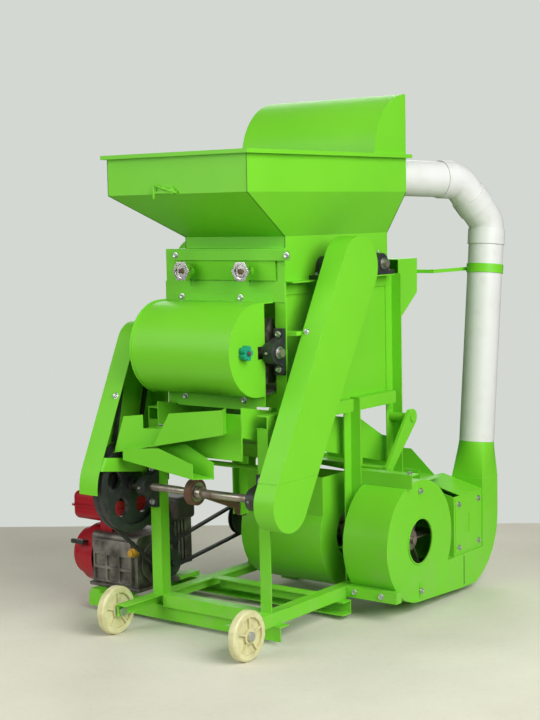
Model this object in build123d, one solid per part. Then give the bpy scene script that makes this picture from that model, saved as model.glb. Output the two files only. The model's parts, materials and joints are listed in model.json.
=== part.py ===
from build123d import *
import os
from math import acos, atan2, cos, degrees, hypot, radians, sin

# All sizes are in millimetres.
# X points to the right of the machine, Y to its rear and Z up from the floor.
# While the pieces are made, X starts at the centre plane and Y at the wheel axle.

# Fits
RUN = 0.06
CLEAR = 0.3
LOOSE = 0.2
OVER = 1.0

# Angle iron frame
FRAME_HALF = 235.0
FLANGE = 40.0
IRON = 4.0
BASE_TOP = 100.0
RAIL_FRONT = -20.0
FRONT_Y = 150.0
CROSS_MID_Y = 400.0
UPPER_Y = 250.0
MID_Y = 604.0
REAR_Y = 897.0
TOP_RAIL = 696.0
LEDGE_TOP = 1084.0
FOOT_SIZE = 64.0
FOOT_THICK = 6.0
INNER = FRAME_HALF - FLANGE

# Engine rails and bed bars
SKID_X = (-FRAME_HALF - 294.0, FRAME_HALF + 23.0)
SKID_FLANGE = 45.0
SKID_FRONT_Y = 161.0
SKID_REAR_Y = 540.0
BED_TOP = 72.0
BED_WIDTH = 40.0
BED_OFFSET = 55.0

# Wheels
WHEEL_R = 75.0
WHEEL_X = (FRAME_HALF + 8.0, FRAME_HALF + 36.0)
WHEEL_EDGE = 5.0
WHEEL_DISH = 8.0
WHEEL_DISH_R = 55.0
WHEEL_HUB_R = 24.0
WHEEL_RIBS = 5
WHEEL_RIB = 6.0
AXLE_R = 8.0
AXLE_HEAD_R = 14.0
AXLE_HEAD = 8.0

# Pillow blocks
SHAFT_R = 12.5
BLOCK_RISE = 36.5
BLOCK_LENGTH = 140.0
BLOCK_WIDTH = 34.0
BLOCK_BASE = 14.0
BLOCK_R = 34.0
BLOCK_SHOULDER = 96.0
BLOCK_BOLTS = 105.0
BLOCK_X = FRAME_HALF - FLANGE / 2

# Bolts
BOLT_R = 8.0
BOLT_HEAD = 7.0

# Sheet metal
SHEET = 3.0
THIN = 2.5

# Body and neck
PANEL_BOTTOM = TOP_RAIL - 6.0
NECK_TOP = LEDGE_TOP + 136.0
NECK_FRONT = 306.0
NECK_REAR = 877.0
SILL_TOP = LEDGE_TOP + 101.0
SHAFT_HOLE_R = 30.0
SPOUT_WINDOW = (LEDGE_TOP - 134.0, LEDGE_TOP - 14.0)
SPOUT_WINDOW_HALF = 150.0
FRONT_SILL = (10.0, 52.0)

# Hopper and hood
HOPPER_HALF = FRAME_HALF + 32.5
HOPPER_FRONT = 33.0
HOPPER_REAR = 883.0
BAND_BOTTOM = LEDGE_TOP + 268.0
RIM_TOP = LEDGE_TOP + 389.0
LIP = 15.0
LIP_HEIGHT = 12.0
LATCH_X = -38.0
LATCH_Z = BAND_BOTTOM + 14.0
LATCH_PLATE = (66.0, 24.0)
LATCH_BAR = (97.0, 7.0)
LATCH_NUT_R = 7.0
HOOD_FRONT = 695.0
HOOD_TOP = RIM_TOP + 195.0
HOOD_MID = (740.0, RIM_TOP + 123.0)

# Front plate and feed gate
PLATE_X = (7.0 - FRAME_HALF, FRAME_HALF)
PLATE_Z = (LEDGE_TOP - 59.0, SILL_TOP)
STRIP_Z = (SILL_TOP - 35.0, SILL_TOP - 5.0)
STRIP_DEEP = 12.0
STRIP_X = (43.0 - FRAME_HALF, FRAME_HALF + 32.0)
STRIP_BOLT = 14.0
GATE_HALF = INNER - 10.0
GATE_Z = (SILL_TOP - 145.0, SILL_TOP - 35.0)
GATE_TRAVEL = 40.0
STUD_X = (73.0 - INNER, INNER - 85.0)
STUD_Z = SILL_TOP - 67.0
STUD_R = 8.0
STUD_LENGTH = 58.0
STUD_COLLAR_R = 14.0
STUD_COLLAR = 18.0
NUT_R = 33.0
NUT_LONG = 20.0
NUT_RECESS_R = 21.0
NUT_RECESS = 4.0

# Front drum and its cover
FRONT_SHAFT_Z = 878.0
FRONT_SHAFT_X = (-FRAME_HALF - 104.0, FRAME_HALF + 15.0)
FRONT_DRUM_R = 110.0
COVER_R = 140.0
COVER_Y = 171.0
COVER_Z = FRONT_SHAFT_Z + 8.0
COVER_HALF = INNER - 5.0
COVER_FLANGE = 22.0
COVER_END = 203.0
COVER_RING = 5.0
COVER_FOOT = 33.0
COVER_TONGUE = 12.0
COVER_ROOM = 10.0
NOTCH_Y = 168.0
NOTCH_HALF = 19.0
KNOB_Y = 96.0
KNOB_Z = FRONT_SHAFT_Z + 7.0
KNOB_R = 23.0
KNOB_LONG = 20.0
KNOB_LOBES = 5
KNOB_LOBE_R = 9.0
KNOB_STUD_R = 5.0

# Upper and rear drums
UPPER_SHAFT_Y = 495.0
REAR_SHAFT_Y = 790.0
UPPER_SHAFT_X = (-FRAME_HALF - 81.0, FRAME_HALF + 91.0)
REAR_SHAFT_X = (-FRAME_HALF - 81.0, FRAME_HALF + 17.0)
UPPER_DRUM_R = 95.0
REAR_DRUM_R = 80.0
DRUM_HALF = COVER_HALF - 18.0
DRUM_DISC = 6.0
DRUM_BAR = 18.0
DRUM_BARS = 6
DRUM_HUB_R = 24.0
DRUM_HUB = 20.0
GRID_GAP = 15.0
GRID_THICK = 4.0
GRID_SWEEP = 130.0
GRID_SLOTS = 9
GRID_SLOT = 9.0
GRID_RIM = 22.0

# Counter shaft
COUNTER_Z = 450.0
COUNTER_X = (-FRAME_HALF - 104.0, FRAME_HALF + 91.0)
ECC_X = (-37.0, -11.0)
ECC_R = 30.0
ECC_THROW = 5.0
COLLAR_X = (-8.0, 12.0)
COLLAR_R = 20.0
ROD_EYE_R = 41.0
ROD_WIDTH = 22.0
ROD_BAR = 18.0
ROD_END = (340.0, 362.0)
ROD_PIN_R = 6.0
ROD_END_BORE = 17.0
ROD_END_R = 25.0

# Pulleys and belts
BELT_WIDE = 13.0
BELT_THICK = 9.0
PULLEY_WIDE = 24.0
PULLEY_HUB_R = 26.0
BIG_WIDE = 40.0
BIG_R = 150.0
BIG_WEB = 14.0
BIG_RIM = 24.0
BIG_HOLES = 5
BIG_HOLE_R = 30.0
BIG_HOLE_AT = 82.0
BIG_X = -FRAME_HALF - 52.0
FAN_BELT_X = -FRAME_HALF - 90.0
RIGHT_BELT_X = FRAME_HALF + 70.0
LEFT_BELT_X = -FRAME_HALF - 90.0
REAR_BELT_X = -FRAME_HALF - 61.0
ENGINE_PULLEY_R = 45.0
FAN_PULLEY_R = 60.0
RIGHT_LOW_R = 62.0
RIGHT_HIGH_R = 70.0
LEFT_LOW_R = 58.0
LEFT_HIGH_R = 62.0
REAR_PAIR_R = 62.0

# Belt guards
GUARD_SHEET = 2.5
RIGHT_GUARD_X = (FRAME_HALF + 35.0, FRAME_HALF + 107.0)
RIGHT_GUARD_R = (85.0, 96.0)
LEFT_GUARD_X = (-FRAME_HALF - 110.0, -FRAME_HALF - 35.0)
LEFT_GUARD_R = (168.0, 80.0)
LEFT_GUARD_CUT = COUNTER_Z - 10.0
REAR_GUARD_X = (-FRAME_HALF - 95.0, -FRAME_HALF - 27.0)
REAR_GUARD_R = 90.0
RIGHT_STRAP_Z = (926.0, 938.0)
RIGHT_STRAP_REAR = 288.0
LEFT_STRAP_Z = (FRONT_SHAFT_Z + 70.5, FRONT_SHAFT_Z + 79.5)
LEFT_STRAP_DEEP = 22.0
REAR_STRAP_Y = (628.0, 658.0)
RIGHT_BAND_BOLT = 0.66
LEFT_BAND_BOLT = 0.55
BAND_BOLT_IN = 16.0

# Fans
FAN_Y = 722.0
BEARER_TOP = 196.5
FAN_SHAFT_X = (-FRAME_HALF - 107.0, FRAME_HALF + 151.0)
WINNOWER_X = (11.0 - INNER, INNER - 55.0)
WINNOWER_R = 180.0
WINNOWER_EYE_R = 85.0
WINNOWER_FAN_R = 155.0
WINNOWER_FAN_X = (30.0 - INNER, INNER - 74.0)
DUCT_Y = (560.0, 700.0)
DUCT_TOP = 440.0
EAR_LONG = 50.0
BLOWER_X = (FRAME_HALF + 5.0, FRAME_HALF + 171.0)
BLOWER_R = 198.0
BLOWER_EYE_R = 72.0
BLOWER_OUT_Y = 1003.0
BLOWER_OUT_Z = (21.0, 135.0)
BLOWER_FAN_R = 175.0
BLOWER_FAN_X = (FRAME_HALF + 27.0, FRAME_HALF + 137.0)
BLADES = 6
BLADE_THICK = 4.0
SPIDER_R = 34.0
CLIP = (14.0, 46.0)
CLIP_IN = 12.0

# Blower bars
BAR_X = FRAME_HALF + 190.0
BAR_Z = (404.0, 460.0)
FOOT_BAR_Y = (545.0, 575.0)
FOOT_BAR_Z = (66.0, 102.0)
FOOT_BAR_BOLTS = (FRAME_HALF + 32.0, FRAME_HALF + 133.0)

# Feed box, lift duct and return chute
BOX_X = (FRAME_HALF + 8.0, FRAME_HALF + 165.0)
BOX_Y = (948.0, 1135.0)
BOX_TOP = (376.0, 335.0)
LID_FROM = FRAME_HALF + 15.0
LID_FRONT = 986.0
HATCH_EDGE = 9.0
HATCH_SLOT = (12.0, 64.0)
LIFT_X = (FRAME_HALF + 50.0, FRAME_HALF + 170.0)
LIFT_R = 230.0
LIFT_CENTRE = (1012.0, 240.0)
LIFT_TOP = 370.0
RETURN_X = (60.0 - FRAME_HALF, FRAME_HALF + 65.0)
RETURN_Y = (897.0, 1040.0)
RETURN_FLOOR = (418.0, 385.0)
RETURN_FRONT_TOP = 428.0
RETURN_BACK_TOP = 471.0
RETURN_BACK_X = (FRAME_HALF - 55.0, FRAME_HALF + 40.0)

# White pipe
PIPE_R = 60.0
PIPE_WALL = 5.0
PIPE_FOOT = (FRAME_HALF + 115.0, 1195.0, 490.0)
PIPE_CORNER = (FRAME_HALF + 115.0, 1293.0, LEDGE_TOP + 301.0)
PIPE_INLET = (INNER - 15.0, 868.0, LEDGE_TOP + 318.0)
PIPE_BEND = 75.0
PIPE_CUT = 140.0
SLEEVE = 4.0
SLEEVE_LONG = 52.0
STRAP_Z = LEDGE_TOP + 1.0
STRAP_HIGH = 30.0
STRAP_BAR = 12.0

# Rear spout
SPOUT_HALF = FRAME_HALF - 10.0
SPOUT_OUT = ((1016.0, LEDGE_TOP + 46.0), (1014.0, LEDGE_TOP - 69.0), (916.0, LEDGE_TOP - 144.0))

# Sieve
SIEVE_HALF = INNER - 30.0
DECK_FRONT = (115.0, 650.0)
DECK_REAR = (925.0, 459.0)
DECK_THICK = 3.0
DECK_SLOT = (34.0, 8.0)
DECK_ROWS = 18
DECK_COLUMNS = 6
SIDE_UNDER = 20.0
SIDE_TOP = ((115.0, 720.0), (745.0, 612.0), (877.0, 540.0), (925.0, 528.0))
APRON_BOTTOM = 560.0
APRON_TOP = 700.0
HANGER_ROD_R = 8.0
HANGER_PIN_R = 10.0
HANGER_LEAN = (142.0, 153.0)
HANGER_REAR = (738.0, 453.0)
HANGER_FRONT = (300.0, TOP_RAIL - 190.0)
HANGER_LOW_R = 15.0
HANGER_BOSS_R = 29.0
REAR_ARM_X = (FRAME_HALF + 37.0, FRAME_HALF + 49.0)
FRONT_ARM_X = (INNER - 21.0, INNER - 11.0)
EAR_HALF = 20.0
DROP_GAP = 28.0
DROP_THICK = 5.0
DROP_HALF = 18.0

# Kernel trough, the upper chute
TROUGH_FRONT = 20.0
TROUGH_BACK = 112.0
TROUGH_LEFT = -FRAME_HALF - 31.0
TROUGH_END = (INNER - 25.0, INNER - 85.0)
TROUGH_FLOOR = (567.0, 654.0)
TROUGH_TOP = (679.0, 725.0)
TROUGH_TIP = 36.0
TROUGH_MOUTH = -100.0
TROUGH_LEAN = (57.0, 91.0)

# Fines chute, the lower chute
FINES_LEFT = 10.0 - FRAME_HALF
FINES_BACK = 75.0
FINES_RIGHT = (53.0, 88.0)
FINES_FLOOR = (548.0, 508.0)
FINES_PEAK_X = (-80.0, -20.0)
FINES_PEAK = (593.0, 604.0)
FINES_LEFT_TOP = (581.0, 568.0)
FINES_END_TOP = 555.0

# Engine
CRANK = (290.0, BED_TOP + 90.0)
CRANK_R = 10.0
CRANK_DEEP = 40.0
ENGINE_X = (-FRAME_HALF - 310.0, -FRAME_HALF - 110.0)
ENGINE_Y = (200.0, 390.0)
ENGINE_TOP = BED_TOP + 180.0
ENGINE_EDGE = 14.0
CYLINDER_X = (-FRAME_HALF - 280.0, -FRAME_HALF - 150.0)
CYLINDER_REAR = 520.0
CYLINDER_Z = (BED_TOP + 35.0, BED_TOP + 195.0)
FIN_COUNT = 6
FIN_GAP = 8.0
FIN_DEEP = 14.0
HEAD_LONG = 26.0
RECOIL_X = (-FRAME_HALF - 407.0, -FRAME_HALF - 310.0)
RECOIL_R = 98.0
RECOIL_STEP = 42.0
RECOIL_STEP_R = 80.0
TANK_X = (-FRAME_HALF - 415.0, -FRAME_HALF - 205.0)
TANK_Y = (215.0, 400.0)
TANK_Z = (ENGINE_TOP + 30.0, ENGINE_TOP + 125.0)
TANK_EDGE = 22.0
TANK_SEAM = 6.0
TANK_SEAM_HIGH = 5.0
TANK_CAP_R = 30.0
TANK_CAP = 18.0
TANK_VENT_R = 3.0
TANK_LEG = 26.0
MUFFLER_X = (-FRAME_HALF - 205.0, -FRAME_HALF - 110.0)
MUFFLER_Y = (400.0, 500.0)
MUFFLER_Z = (ENGINE_TOP + 17.0, ENGINE_TOP + 97.0)

# Values that follow from the sizes above
BASE_BOTTOM = BASE_TOP - FLANGE
UPPER_SHAFT_Z = LEDGE_TOP + BLOCK_RISE
FRONT_SHAFT_Y = UPPER_Y - BLOCK_RISE
COUNTER_Y = FRONT_Y - BLOCK_RISE
FAN_Z = BEARER_TOP + BLOCK_RISE
MID_REAR = MID_Y + FLANGE
REAR_FRONT = REAR_Y - FLANGE
UPPER_AXIS = (UPPER_SHAFT_Y, UPPER_SHAFT_Z)
REAR_AXIS = (REAR_SHAFT_Y, UPPER_SHAFT_Z)
FRONT_AXIS = (FRONT_SHAFT_Y, FRONT_SHAFT_Z)
COUNTER_AXIS = (COUNTER_Y, COUNTER_Z)
ECC_AXIS = (COUNTER_Y + ECC_THROW, COUNTER_Z)
ROD_EYE = (ROD_END[0] + ECC_THROW, ROD_END[1])
FAN_AXIS = (FAN_Y, FAN_Z)
REAR_PIVOT = (HANGER_REAR[0] + HANGER_LEAN[0], HANGER_REAR[1] + HANGER_LEAN[1])
FRONT_PIVOT = (HANGER_FRONT[0] + HANGER_LEAN[0], HANGER_FRONT[1] + HANGER_LEAN[1])
DECK_SLOPE = (DECK_REAR[1] - DECK_FRONT[1]) / (DECK_REAR[0] - DECK_FRONT[0])


def block(x, y, z):
    """Box between the low and high values of each axis."""
    centre = Pos((x[0] + x[1]) / 2, (y[0] + y[1]) / 2, (z[0] + z[1]) / 2)
    return centre * Box(x[1] - x[0], y[1] - y[0], z[1] - z[0])


def slab(sketch, x):
    """Side view outline with local axes Y and Z, made solid between two X values."""
    return Pos(x[0], 0, 0) * extrude(Plane.YZ * sketch, amount=x[1] - x[0])


def outline(points):
    """Face inside a closed run of points."""
    return make_face(Polyline(*points, close=True))


def upright(y, z):
    """Rectangle of the side view."""
    return outline(((y[0], z[0]), (y[1], z[0]), (y[1], z[1]), (y[0], z[1])))


def disc(axis, radius, x):
    """Cylinder along X around an axis given by Y and Z."""
    return slab(Pos(*axis) * Circle(radius), x)


def about(value, size):
    """Low and high values of a size centred on a value."""
    return (value - size / 2, value + size / 2)


def flipped(shape):
    """The same piece on the other side of the centre plane."""
    return mirror(shape, about=Plane.YZ)


def both_sides(*shapes):
    """Each piece with its twin on the other side."""
    return [one for shape in shapes for one in (shape, flipped(shape))]


def group(*shapes):
    """Separate solids kept together in one piece of the list."""
    return Compound([one for shape in shapes for one in shape.solids()])


def tangent_turn(low, low_r, high, high_r, side):
    """Angle of the radius at which a band leaves two circles, on one side of them."""
    lean = atan2(high[1] - low[1], high[0] - low[0])
    return lean + side * acos((low_r - high_r) / hypot(high[0] - low[0], high[1] - low[1]))


def around(centre, radius, turn):
    """Point on a circle at an angle."""
    return (centre[0] + radius * cos(turn), centre[1] + radius * sin(turn))


def wrap(low, low_r, high, high_r):
    """Outline of a band pulled tight around two circles."""
    corners = []
    for centre, radius, sides in ((low, low_r, (1, -1)), (high, high_r, (-1, 1))):
        for side in sides:
            corners.append(around(centre, radius, tangent_turn(low, low_r, high, high_r, side)))
    return Pos(*low) * Circle(low_r) + Pos(*high) * Circle(high_r) + outline(corners)


def belt(x, low, low_r, high, high_r):
    """Belt loop that lies in the grooves of two pulleys of these outer radii."""
    outer = wrap(low, low_r, high, high_r)
    inner = wrap(low, low_r - BELT_THICK, high, high_r - BELT_THICK)
    return slab(outer - inner, about(x, BELT_WIDE))


def groove(x, axis, radius):
    """Ring that a belt groove takes out of a pulley."""
    ring = Circle(radius + OVER) - Circle(radius - BELT_THICK - CLEAR)
    return slab(Pos(*axis) * ring, about(x, BELT_WIDE + 2 * CLEAR))


def pulley(x, axis, radius, bore):
    """Single groove pulley."""
    body = disc(axis, radius, about(x, PULLEY_WIDE))
    return body - groove(x, axis, radius) - disc(axis, bore, about(x, PULLEY_WIDE + OVER))


def guard(low, low_r, high, high_r, x, closed_x):
    """Sheet tray around two pulleys, open on the side away from its wall."""
    inside = wrap(low, low_r - GUARD_SHEET, high, high_r - GUARD_SHEET)
    return slab(wrap(low, low_r, high, high_r), x) - slab(inside, closed_x)


def bar_between(start, end, width, x):
    """Flat bar with round ends between two points of the side view."""
    return slab(wrap(start, width / 2, end, width / 2), x)


def pillow_block():
    """Bearing block with its foot on the floor plane and its bore along X."""
    foot = Box(BLOCK_WIDTH, BLOCK_LENGTH, BLOCK_BASE, align=(Align.CENTER, Align.CENTER, Align.MIN))
    shoulder = BLOCK_SHOULDER / 2
    side = outline(((-shoulder, 0), (shoulder, 0), (BLOCK_R, BLOCK_RISE), (-BLOCK_R, BLOCK_RISE)))
    half = BLOCK_WIDTH / 2
    body = foot + slab(side, (-half, half)) + disc((0, BLOCK_RISE), BLOCK_R, (-half, half))
    return body - disc((0, BLOCK_RISE), SHAFT_R + RUN, (-BLOCK_WIDTH, BLOCK_WIDTH))


def bolt():
    """Hexagon head standing on the floor plane."""
    return extrude(RegularPolygon(BOLT_R, 6), amount=BOLT_HEAD)


def block_bolts():
    """The two bolts on a pillow block's foot."""
    return [Pos(0, side * BLOCK_BOLTS / 2, BLOCK_BASE) * bolt() for side in (-1, 1)]


def front_bolt(x, y, z):
    """Bolt whose head faces the front of the machine."""
    return Pos(x, y, z) * Rot(90, 0, 0) * bolt()


def right_bolt(x, y, z):
    """Bolt whose head faces the right of the machine."""
    return Pos(x, y, z) * Rot(0, 90, 0) * bolt()


def band_bolt(low, low_r, high, high_r, share, x):
    """Bolt on the front band of a guard, at a share of the way up."""
    turn = tangent_turn(low, low_r, high, high_r, 1)
    start = around(low, low_r, turn)
    end = around(high, high_r, turn)
    y = start[0] + (end[0] - start[0]) * share
    z = start[1] + (end[1] - start[1]) * share
    return Pos(x, y, z) * Rot(degrees(turn) - 90, 0, 0) * bolt()


def drum(axis, radius, shaft_x):
    """Beater drum on its shaft: two discs on hubs joined by bars."""
    ends = (about(-DRUM_HALF + DRUM_DISC / 2, DRUM_DISC), about(DRUM_HALF - DRUM_DISC / 2, DRUM_DISC))
    hubs = ((-DRUM_HALF, -DRUM_HALF + DRUM_HUB), (DRUM_HALF - DRUM_HUB, DRUM_HALF))
    body = disc(axis, radius - DRUM_BAR / 2, ends[0]) + disc(axis, radius - DRUM_BAR / 2, ends[1])
    for hub in hubs:
        body += disc(axis, DRUM_HUB_R, hub)
    bar_place = Pos(radius - DRUM_BAR / 2, 0)
    for index in range(DRUM_BARS):
        spoke = Rot(0, 0, 360 * index / DRUM_BARS) * bar_place * Rectangle(DRUM_BAR, DRUM_BAR)
        body += slab(Pos(*axis) * spoke, (-DRUM_HALF, DRUM_HALF))
    return body + disc(axis, SHAFT_R, shaft_x)


def concave(axis, drum_r, half):
    """Slotted trough under a drum."""
    inner = drum_r + GRID_GAP
    outer = inner + GRID_THICK
    ring = slab(Pos(*axis) * (Circle(outer) - Circle(inner)), (-half, half))
    tilt = (180 - GRID_SWEEP) / 2
    low = axis[1] - outer * sin(radians(tilt))
    body = ring & block((-half, half), (axis[0] - outer, axis[0] + outer), (axis[1] - 2 * outer, low))
    for index in range(GRID_SLOTS):
        turn = 270 + (index - (GRID_SLOTS - 1) / 2) * (GRID_SWEEP - 2 * tilt) / GRID_SLOTS
        slot = Rot(0, 0, turn) * Pos(inner, 0) * Rectangle(4 * GRID_THICK, GRID_SLOT)
        body -= slab(Pos(*axis) * slot, (GRID_RIM - half, half - GRID_RIM))
    return body


def fan_wheel(x, radius):
    """Fan wheel: a hub with flat blades."""
    body = disc(FAN_AXIS, SPIDER_R, x)
    for index in range(BLADES):
        blade = Rot(0, 0, 360 * index / BLADES) * Pos(radius / 2, 0) * Rectangle(radius, BLADE_THICK)
        body += slab(Pos(*FAN_AXIS) * blade, x)
    return body - disc(FAN_AXIS, SHAFT_R, (x[0] - OVER, x[1] + OVER))


def post(y, z, rear_flange):
    """Right-hand angle post: one flange along the panel plane and one across it."""
    across = about(y + FLANGE - IRON / 2, IRON) if rear_flange else about(y + IRON / 2, IRON)
    return block((INNER, INNER + IRON), (y, y + FLANGE), z) + block((INNER, FRAME_HALF), across, z)


def side_rail(y, top):
    """Right-hand angle rail with a top flange and an outer flange."""
    wall = block((FRAME_HALF - IRON, FRAME_HALF), y, (top - FLANGE, top))
    return wall + block((INNER, FRAME_HALF), y, (top - IRON, top))


def cross_rail(y, front_wall):
    """Angle rail across the base between the side rails."""
    wall = about(y + IRON / 2, IRON) if front_wall else about(y + FLANGE - IRON / 2, IRON)
    standing = block((-INNER, INNER), wall, (BASE_BOTTOM, BASE_TOP))
    return standing + block((-INNER, INNER), (y, y + FLANGE), (BASE_TOP - IRON, BASE_TOP))


def along_y(sketch, y):
    """Outline of X and Z made solid between two Y values."""
    return Pos(0, y[1], 0) * extrude(Plane.XZ * sketch, amount=y[1] - y[0])


def slope_plate(x, z, y, thick):
    """Floor plate that runs between two heights along X."""
    points = ((x[0], z[0]), (x[1], z[1]), (x[1], z[1] - thick), (x[0], z[0] - thick))
    return along_y(outline(points), y)


def deck_z(y):
    """Height of the sieve deck at a place along the machine."""
    return DECK_FRONT[1] + (y - DECK_FRONT[0]) * DECK_SLOPE


def shell_loft(low_z, low, high_z, high):
    """Solid between two rectangles given as half width, front and rear."""
    faces = []
    for level, (half, front, rear) in ((low_z, low), (high_z, high)):
        faces.append(Pos(0, (front + rear) / 2, level) * Rectangle(2 * half, rear - front))
    return loft(faces, ruled=True)


def inset(rectangle, amount):
    """The same rectangle taken in on every side."""
    half, front, rear = rectangle
    return (half - amount, front + amount, rear - amount)


parts = {}

# Base frame
axle_hole = disc((0, WHEEL_R), AXLE_R + LOOSE, (INNER, FRAME_HALF + OVER))
base_side = side_rail((RAIL_FRONT, REAR_FRONT), BASE_TOP) - axle_hole
cross_rails = [cross_rail(FRONT_Y, True), cross_rail(CROSS_MID_Y, False), cross_rail(REAR_FRONT, False)]
foot_y = about(REAR_Y - FLANGE / 2, FOOT_SIZE)
rear_foot = block(about(BLOCK_X, FOOT_SIZE), foot_y, (0, FOOT_THICK))
parts["base_frame"] = group(*both_sides(base_side, rear_foot), *cross_rails)

# Posts
front_post = post(FRONT_Y, (BASE_TOP, TOP_RAIL - FLANGE), False)
mid_post = post(MID_Y, (BASE_TOP, TOP_RAIL), True)
rear_post = post(REAR_FRONT, (FOOT_THICK, LEDGE_TOP), True)
upper_post = post(UPPER_Y, (TOP_RAIL, LEDGE_TOP), False)
parts["posts"] = group(*both_sides(front_post, mid_post, rear_post, upper_post))

# Top rails, bearing ledges and fan bearers
top_rails = [side_rail((FRONT_Y, MID_Y), TOP_RAIL), side_rail((MID_REAR, REAR_FRONT), TOP_RAIL)]
ledge_y = (UPPER_Y + FLANGE, REAR_FRONT)
ledge = block((INNER, FRAME_HALF), ledge_y, (LEDGE_TOP - IRON, LEDGE_TOP))
ledge += block((INNER, INNER + IRON), ledge_y, (LEDGE_TOP - FLANGE, LEDGE_TOP))
bearer_y = (MID_REAR, REAR_Y - IRON)
bearer = block((INNER + IRON, FRAME_HALF), bearer_y, (BEARER_TOP - IRON, BEARER_TOP))
bearer += block((FRAME_HALF - IRON, FRAME_HALF), bearer_y, (BEARER_TOP - FLANGE, BEARER_TOP))
parts["side_bars"] = group(*both_sides(*top_rails, ledge, bearer))

# Engine rails and bed
skid_z = (BASE_BOTTOM - SKID_FLANGE, BASE_BOTTOM)
skid_top = (BASE_BOTTOM - IRON, BASE_BOTTOM)
front_skid = block(SKID_X, (SKID_FRONT_Y, SKID_FRONT_Y + IRON), skid_z)
front_skid += block(SKID_X, (SKID_FRONT_Y, SKID_FRONT_Y + SKID_FLANGE), skid_top)
rear_skid = block(SKID_X, (SKID_REAR_Y - IRON, SKID_REAR_Y), skid_z)
for level in (skid_z[0], skid_top[0]):
    rear_skid += block(SKID_X, (SKID_REAR_Y - SKID_FLANGE, SKID_REAR_Y), (level, level + IRON))
engine_mid = sum(ENGINE_X) / 2
beds = []
for side in (-1, 1):
    bed_x = about(engine_mid + side * BED_OFFSET, BED_WIDTH)
    beds.append(block(bed_x, (SKID_FRONT_Y, SKID_REAR_Y), (BASE_BOTTOM, BED_TOP)))
parts["engine_rails"] = group(front_skid, rear_skid, *beds)

# Wheels and stub axles
tread = Pos(0, WHEEL_R) * Circle(WHEEL_R)
wheel = slab(tread, WHEEL_X)
wheel = chamfer(wheel.edges().filter_by(GeomType.CIRCLE), WHEEL_EDGE)
dish = Pos(0, WHEEL_R) * (Circle(WHEEL_DISH_R) - Circle(WHEEL_HUB_R))
for dish_x in ((WHEEL_X[0] - OVER, WHEEL_X[0] + WHEEL_DISH), (WHEEL_X[1] - WHEEL_DISH, WHEEL_X[1] + OVER)):
    wheel -= slab(dish, dish_x)
rib = Pos((WHEEL_DISH_R + WHEEL_HUB_R) / 2, 0) * Rectangle(WHEEL_DISH_R - WHEEL_HUB_R + WHEEL_RIB, WHEEL_RIB)
for index in range(WHEEL_RIBS):
    spoke = Pos(0, WHEEL_R) * Rot(0, 0, 90 + 360 * index / WHEEL_RIBS) * rib
    wheel += slab(spoke, (WHEEL_X[0] + OVER, WHEEL_X[1] - OVER))
wheel -= disc((0, WHEEL_R), AXLE_R + RUN, (WHEEL_X[0] - OVER, WHEEL_X[1] + OVER))
parts["wheel_right"] = wheel
parts["wheel_left"] = flipped(wheel)
axle_in = FRAME_HALF - IRON - AXLE_HEAD
axle_out = WHEEL_X[1] + CLEAR
axle = disc((0, WHEEL_R), AXLE_R, (axle_in, axle_out + AXLE_HEAD))
axle += disc((0, WHEEL_R), AXLE_HEAD_R, (axle_in, FRAME_HALF - IRON))
axle += disc((0, WHEEL_R), AXLE_HEAD_R, (axle_out, axle_out + AXLE_HEAD))
axle += disc((0, WHEEL_R), AXLE_HEAD_R, (FRAME_HALF, WHEEL_X[0] - CLEAR))
parts["wheel_axles"] = group(*both_sides(axle))

# Body panels
panel_y = (UPPER_Y + IRON, REAR_Y - IRON)
side_panel = block((INNER - SHEET, INNER), panel_y, (PANEL_BOTTOM, LEDGE_TOP))
rear_y = (REAR_Y - IRON, REAR_Y - IRON + SHEET)
rear_panel = block((-INNER, INNER), rear_y, (PANEL_BOTTOM, LEDGE_TOP))
rear_panel -= block((-SPOUT_WINDOW_HALF, SPOUT_WINDOW_HALF), (rear_y[0] - OVER, rear_y[1] + OVER), SPOUT_WINDOW)
sill_z = (TOP_RAIL + FRONT_SILL[0], TOP_RAIL + FRONT_SILL[1])
front_sill = block((-INNER, INNER), (UPPER_Y, UPPER_Y + IRON), sill_z)
parts["body_panels"] = group(*both_sides(side_panel), rear_panel, front_sill)

# Neck under the hopper
neck_side = (
    (UPPER_Y, LEDGE_TOP),
    (UPPER_Y, SILL_TOP),
    (NECK_FRONT, SILL_TOP),
    (NECK_FRONT, NECK_TOP),
    (NECK_REAR, NECK_TOP),
    (NECK_REAR, LEDGE_TOP + SHEET),
    (REAR_Y - IRON, LEDGE_TOP + SHEET),
    (REAR_Y - IRON, LEDGE_TOP),
)
neck_wall = slab(outline(neck_side), (INNER - SHEET, INNER))
neck = neck_wall + flipped(neck_wall)
neck += block((-INNER, INNER), (NECK_FRONT, NECK_FRONT + SHEET), (SILL_TOP, NECK_TOP))
neck += block((-INNER, INNER), (UPPER_Y, NECK_FRONT + SHEET), (SILL_TOP - SHEET, SILL_TOP))
neck += block((-INNER, INNER), (NECK_REAR - SHEET, NECK_REAR), (LEDGE_TOP, NECK_TOP))
neck += block((-INNER, INNER), (NECK_REAR - SHEET, REAR_Y - IRON), (LEDGE_TOP, LEDGE_TOP + SHEET))
for axis in (UPPER_AXIS, REAR_AXIS):
    neck -= disc(axis, SHAFT_HOLE_R, (-FRAME_HALF, FRAME_HALF))
parts["neck"] = neck

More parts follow.
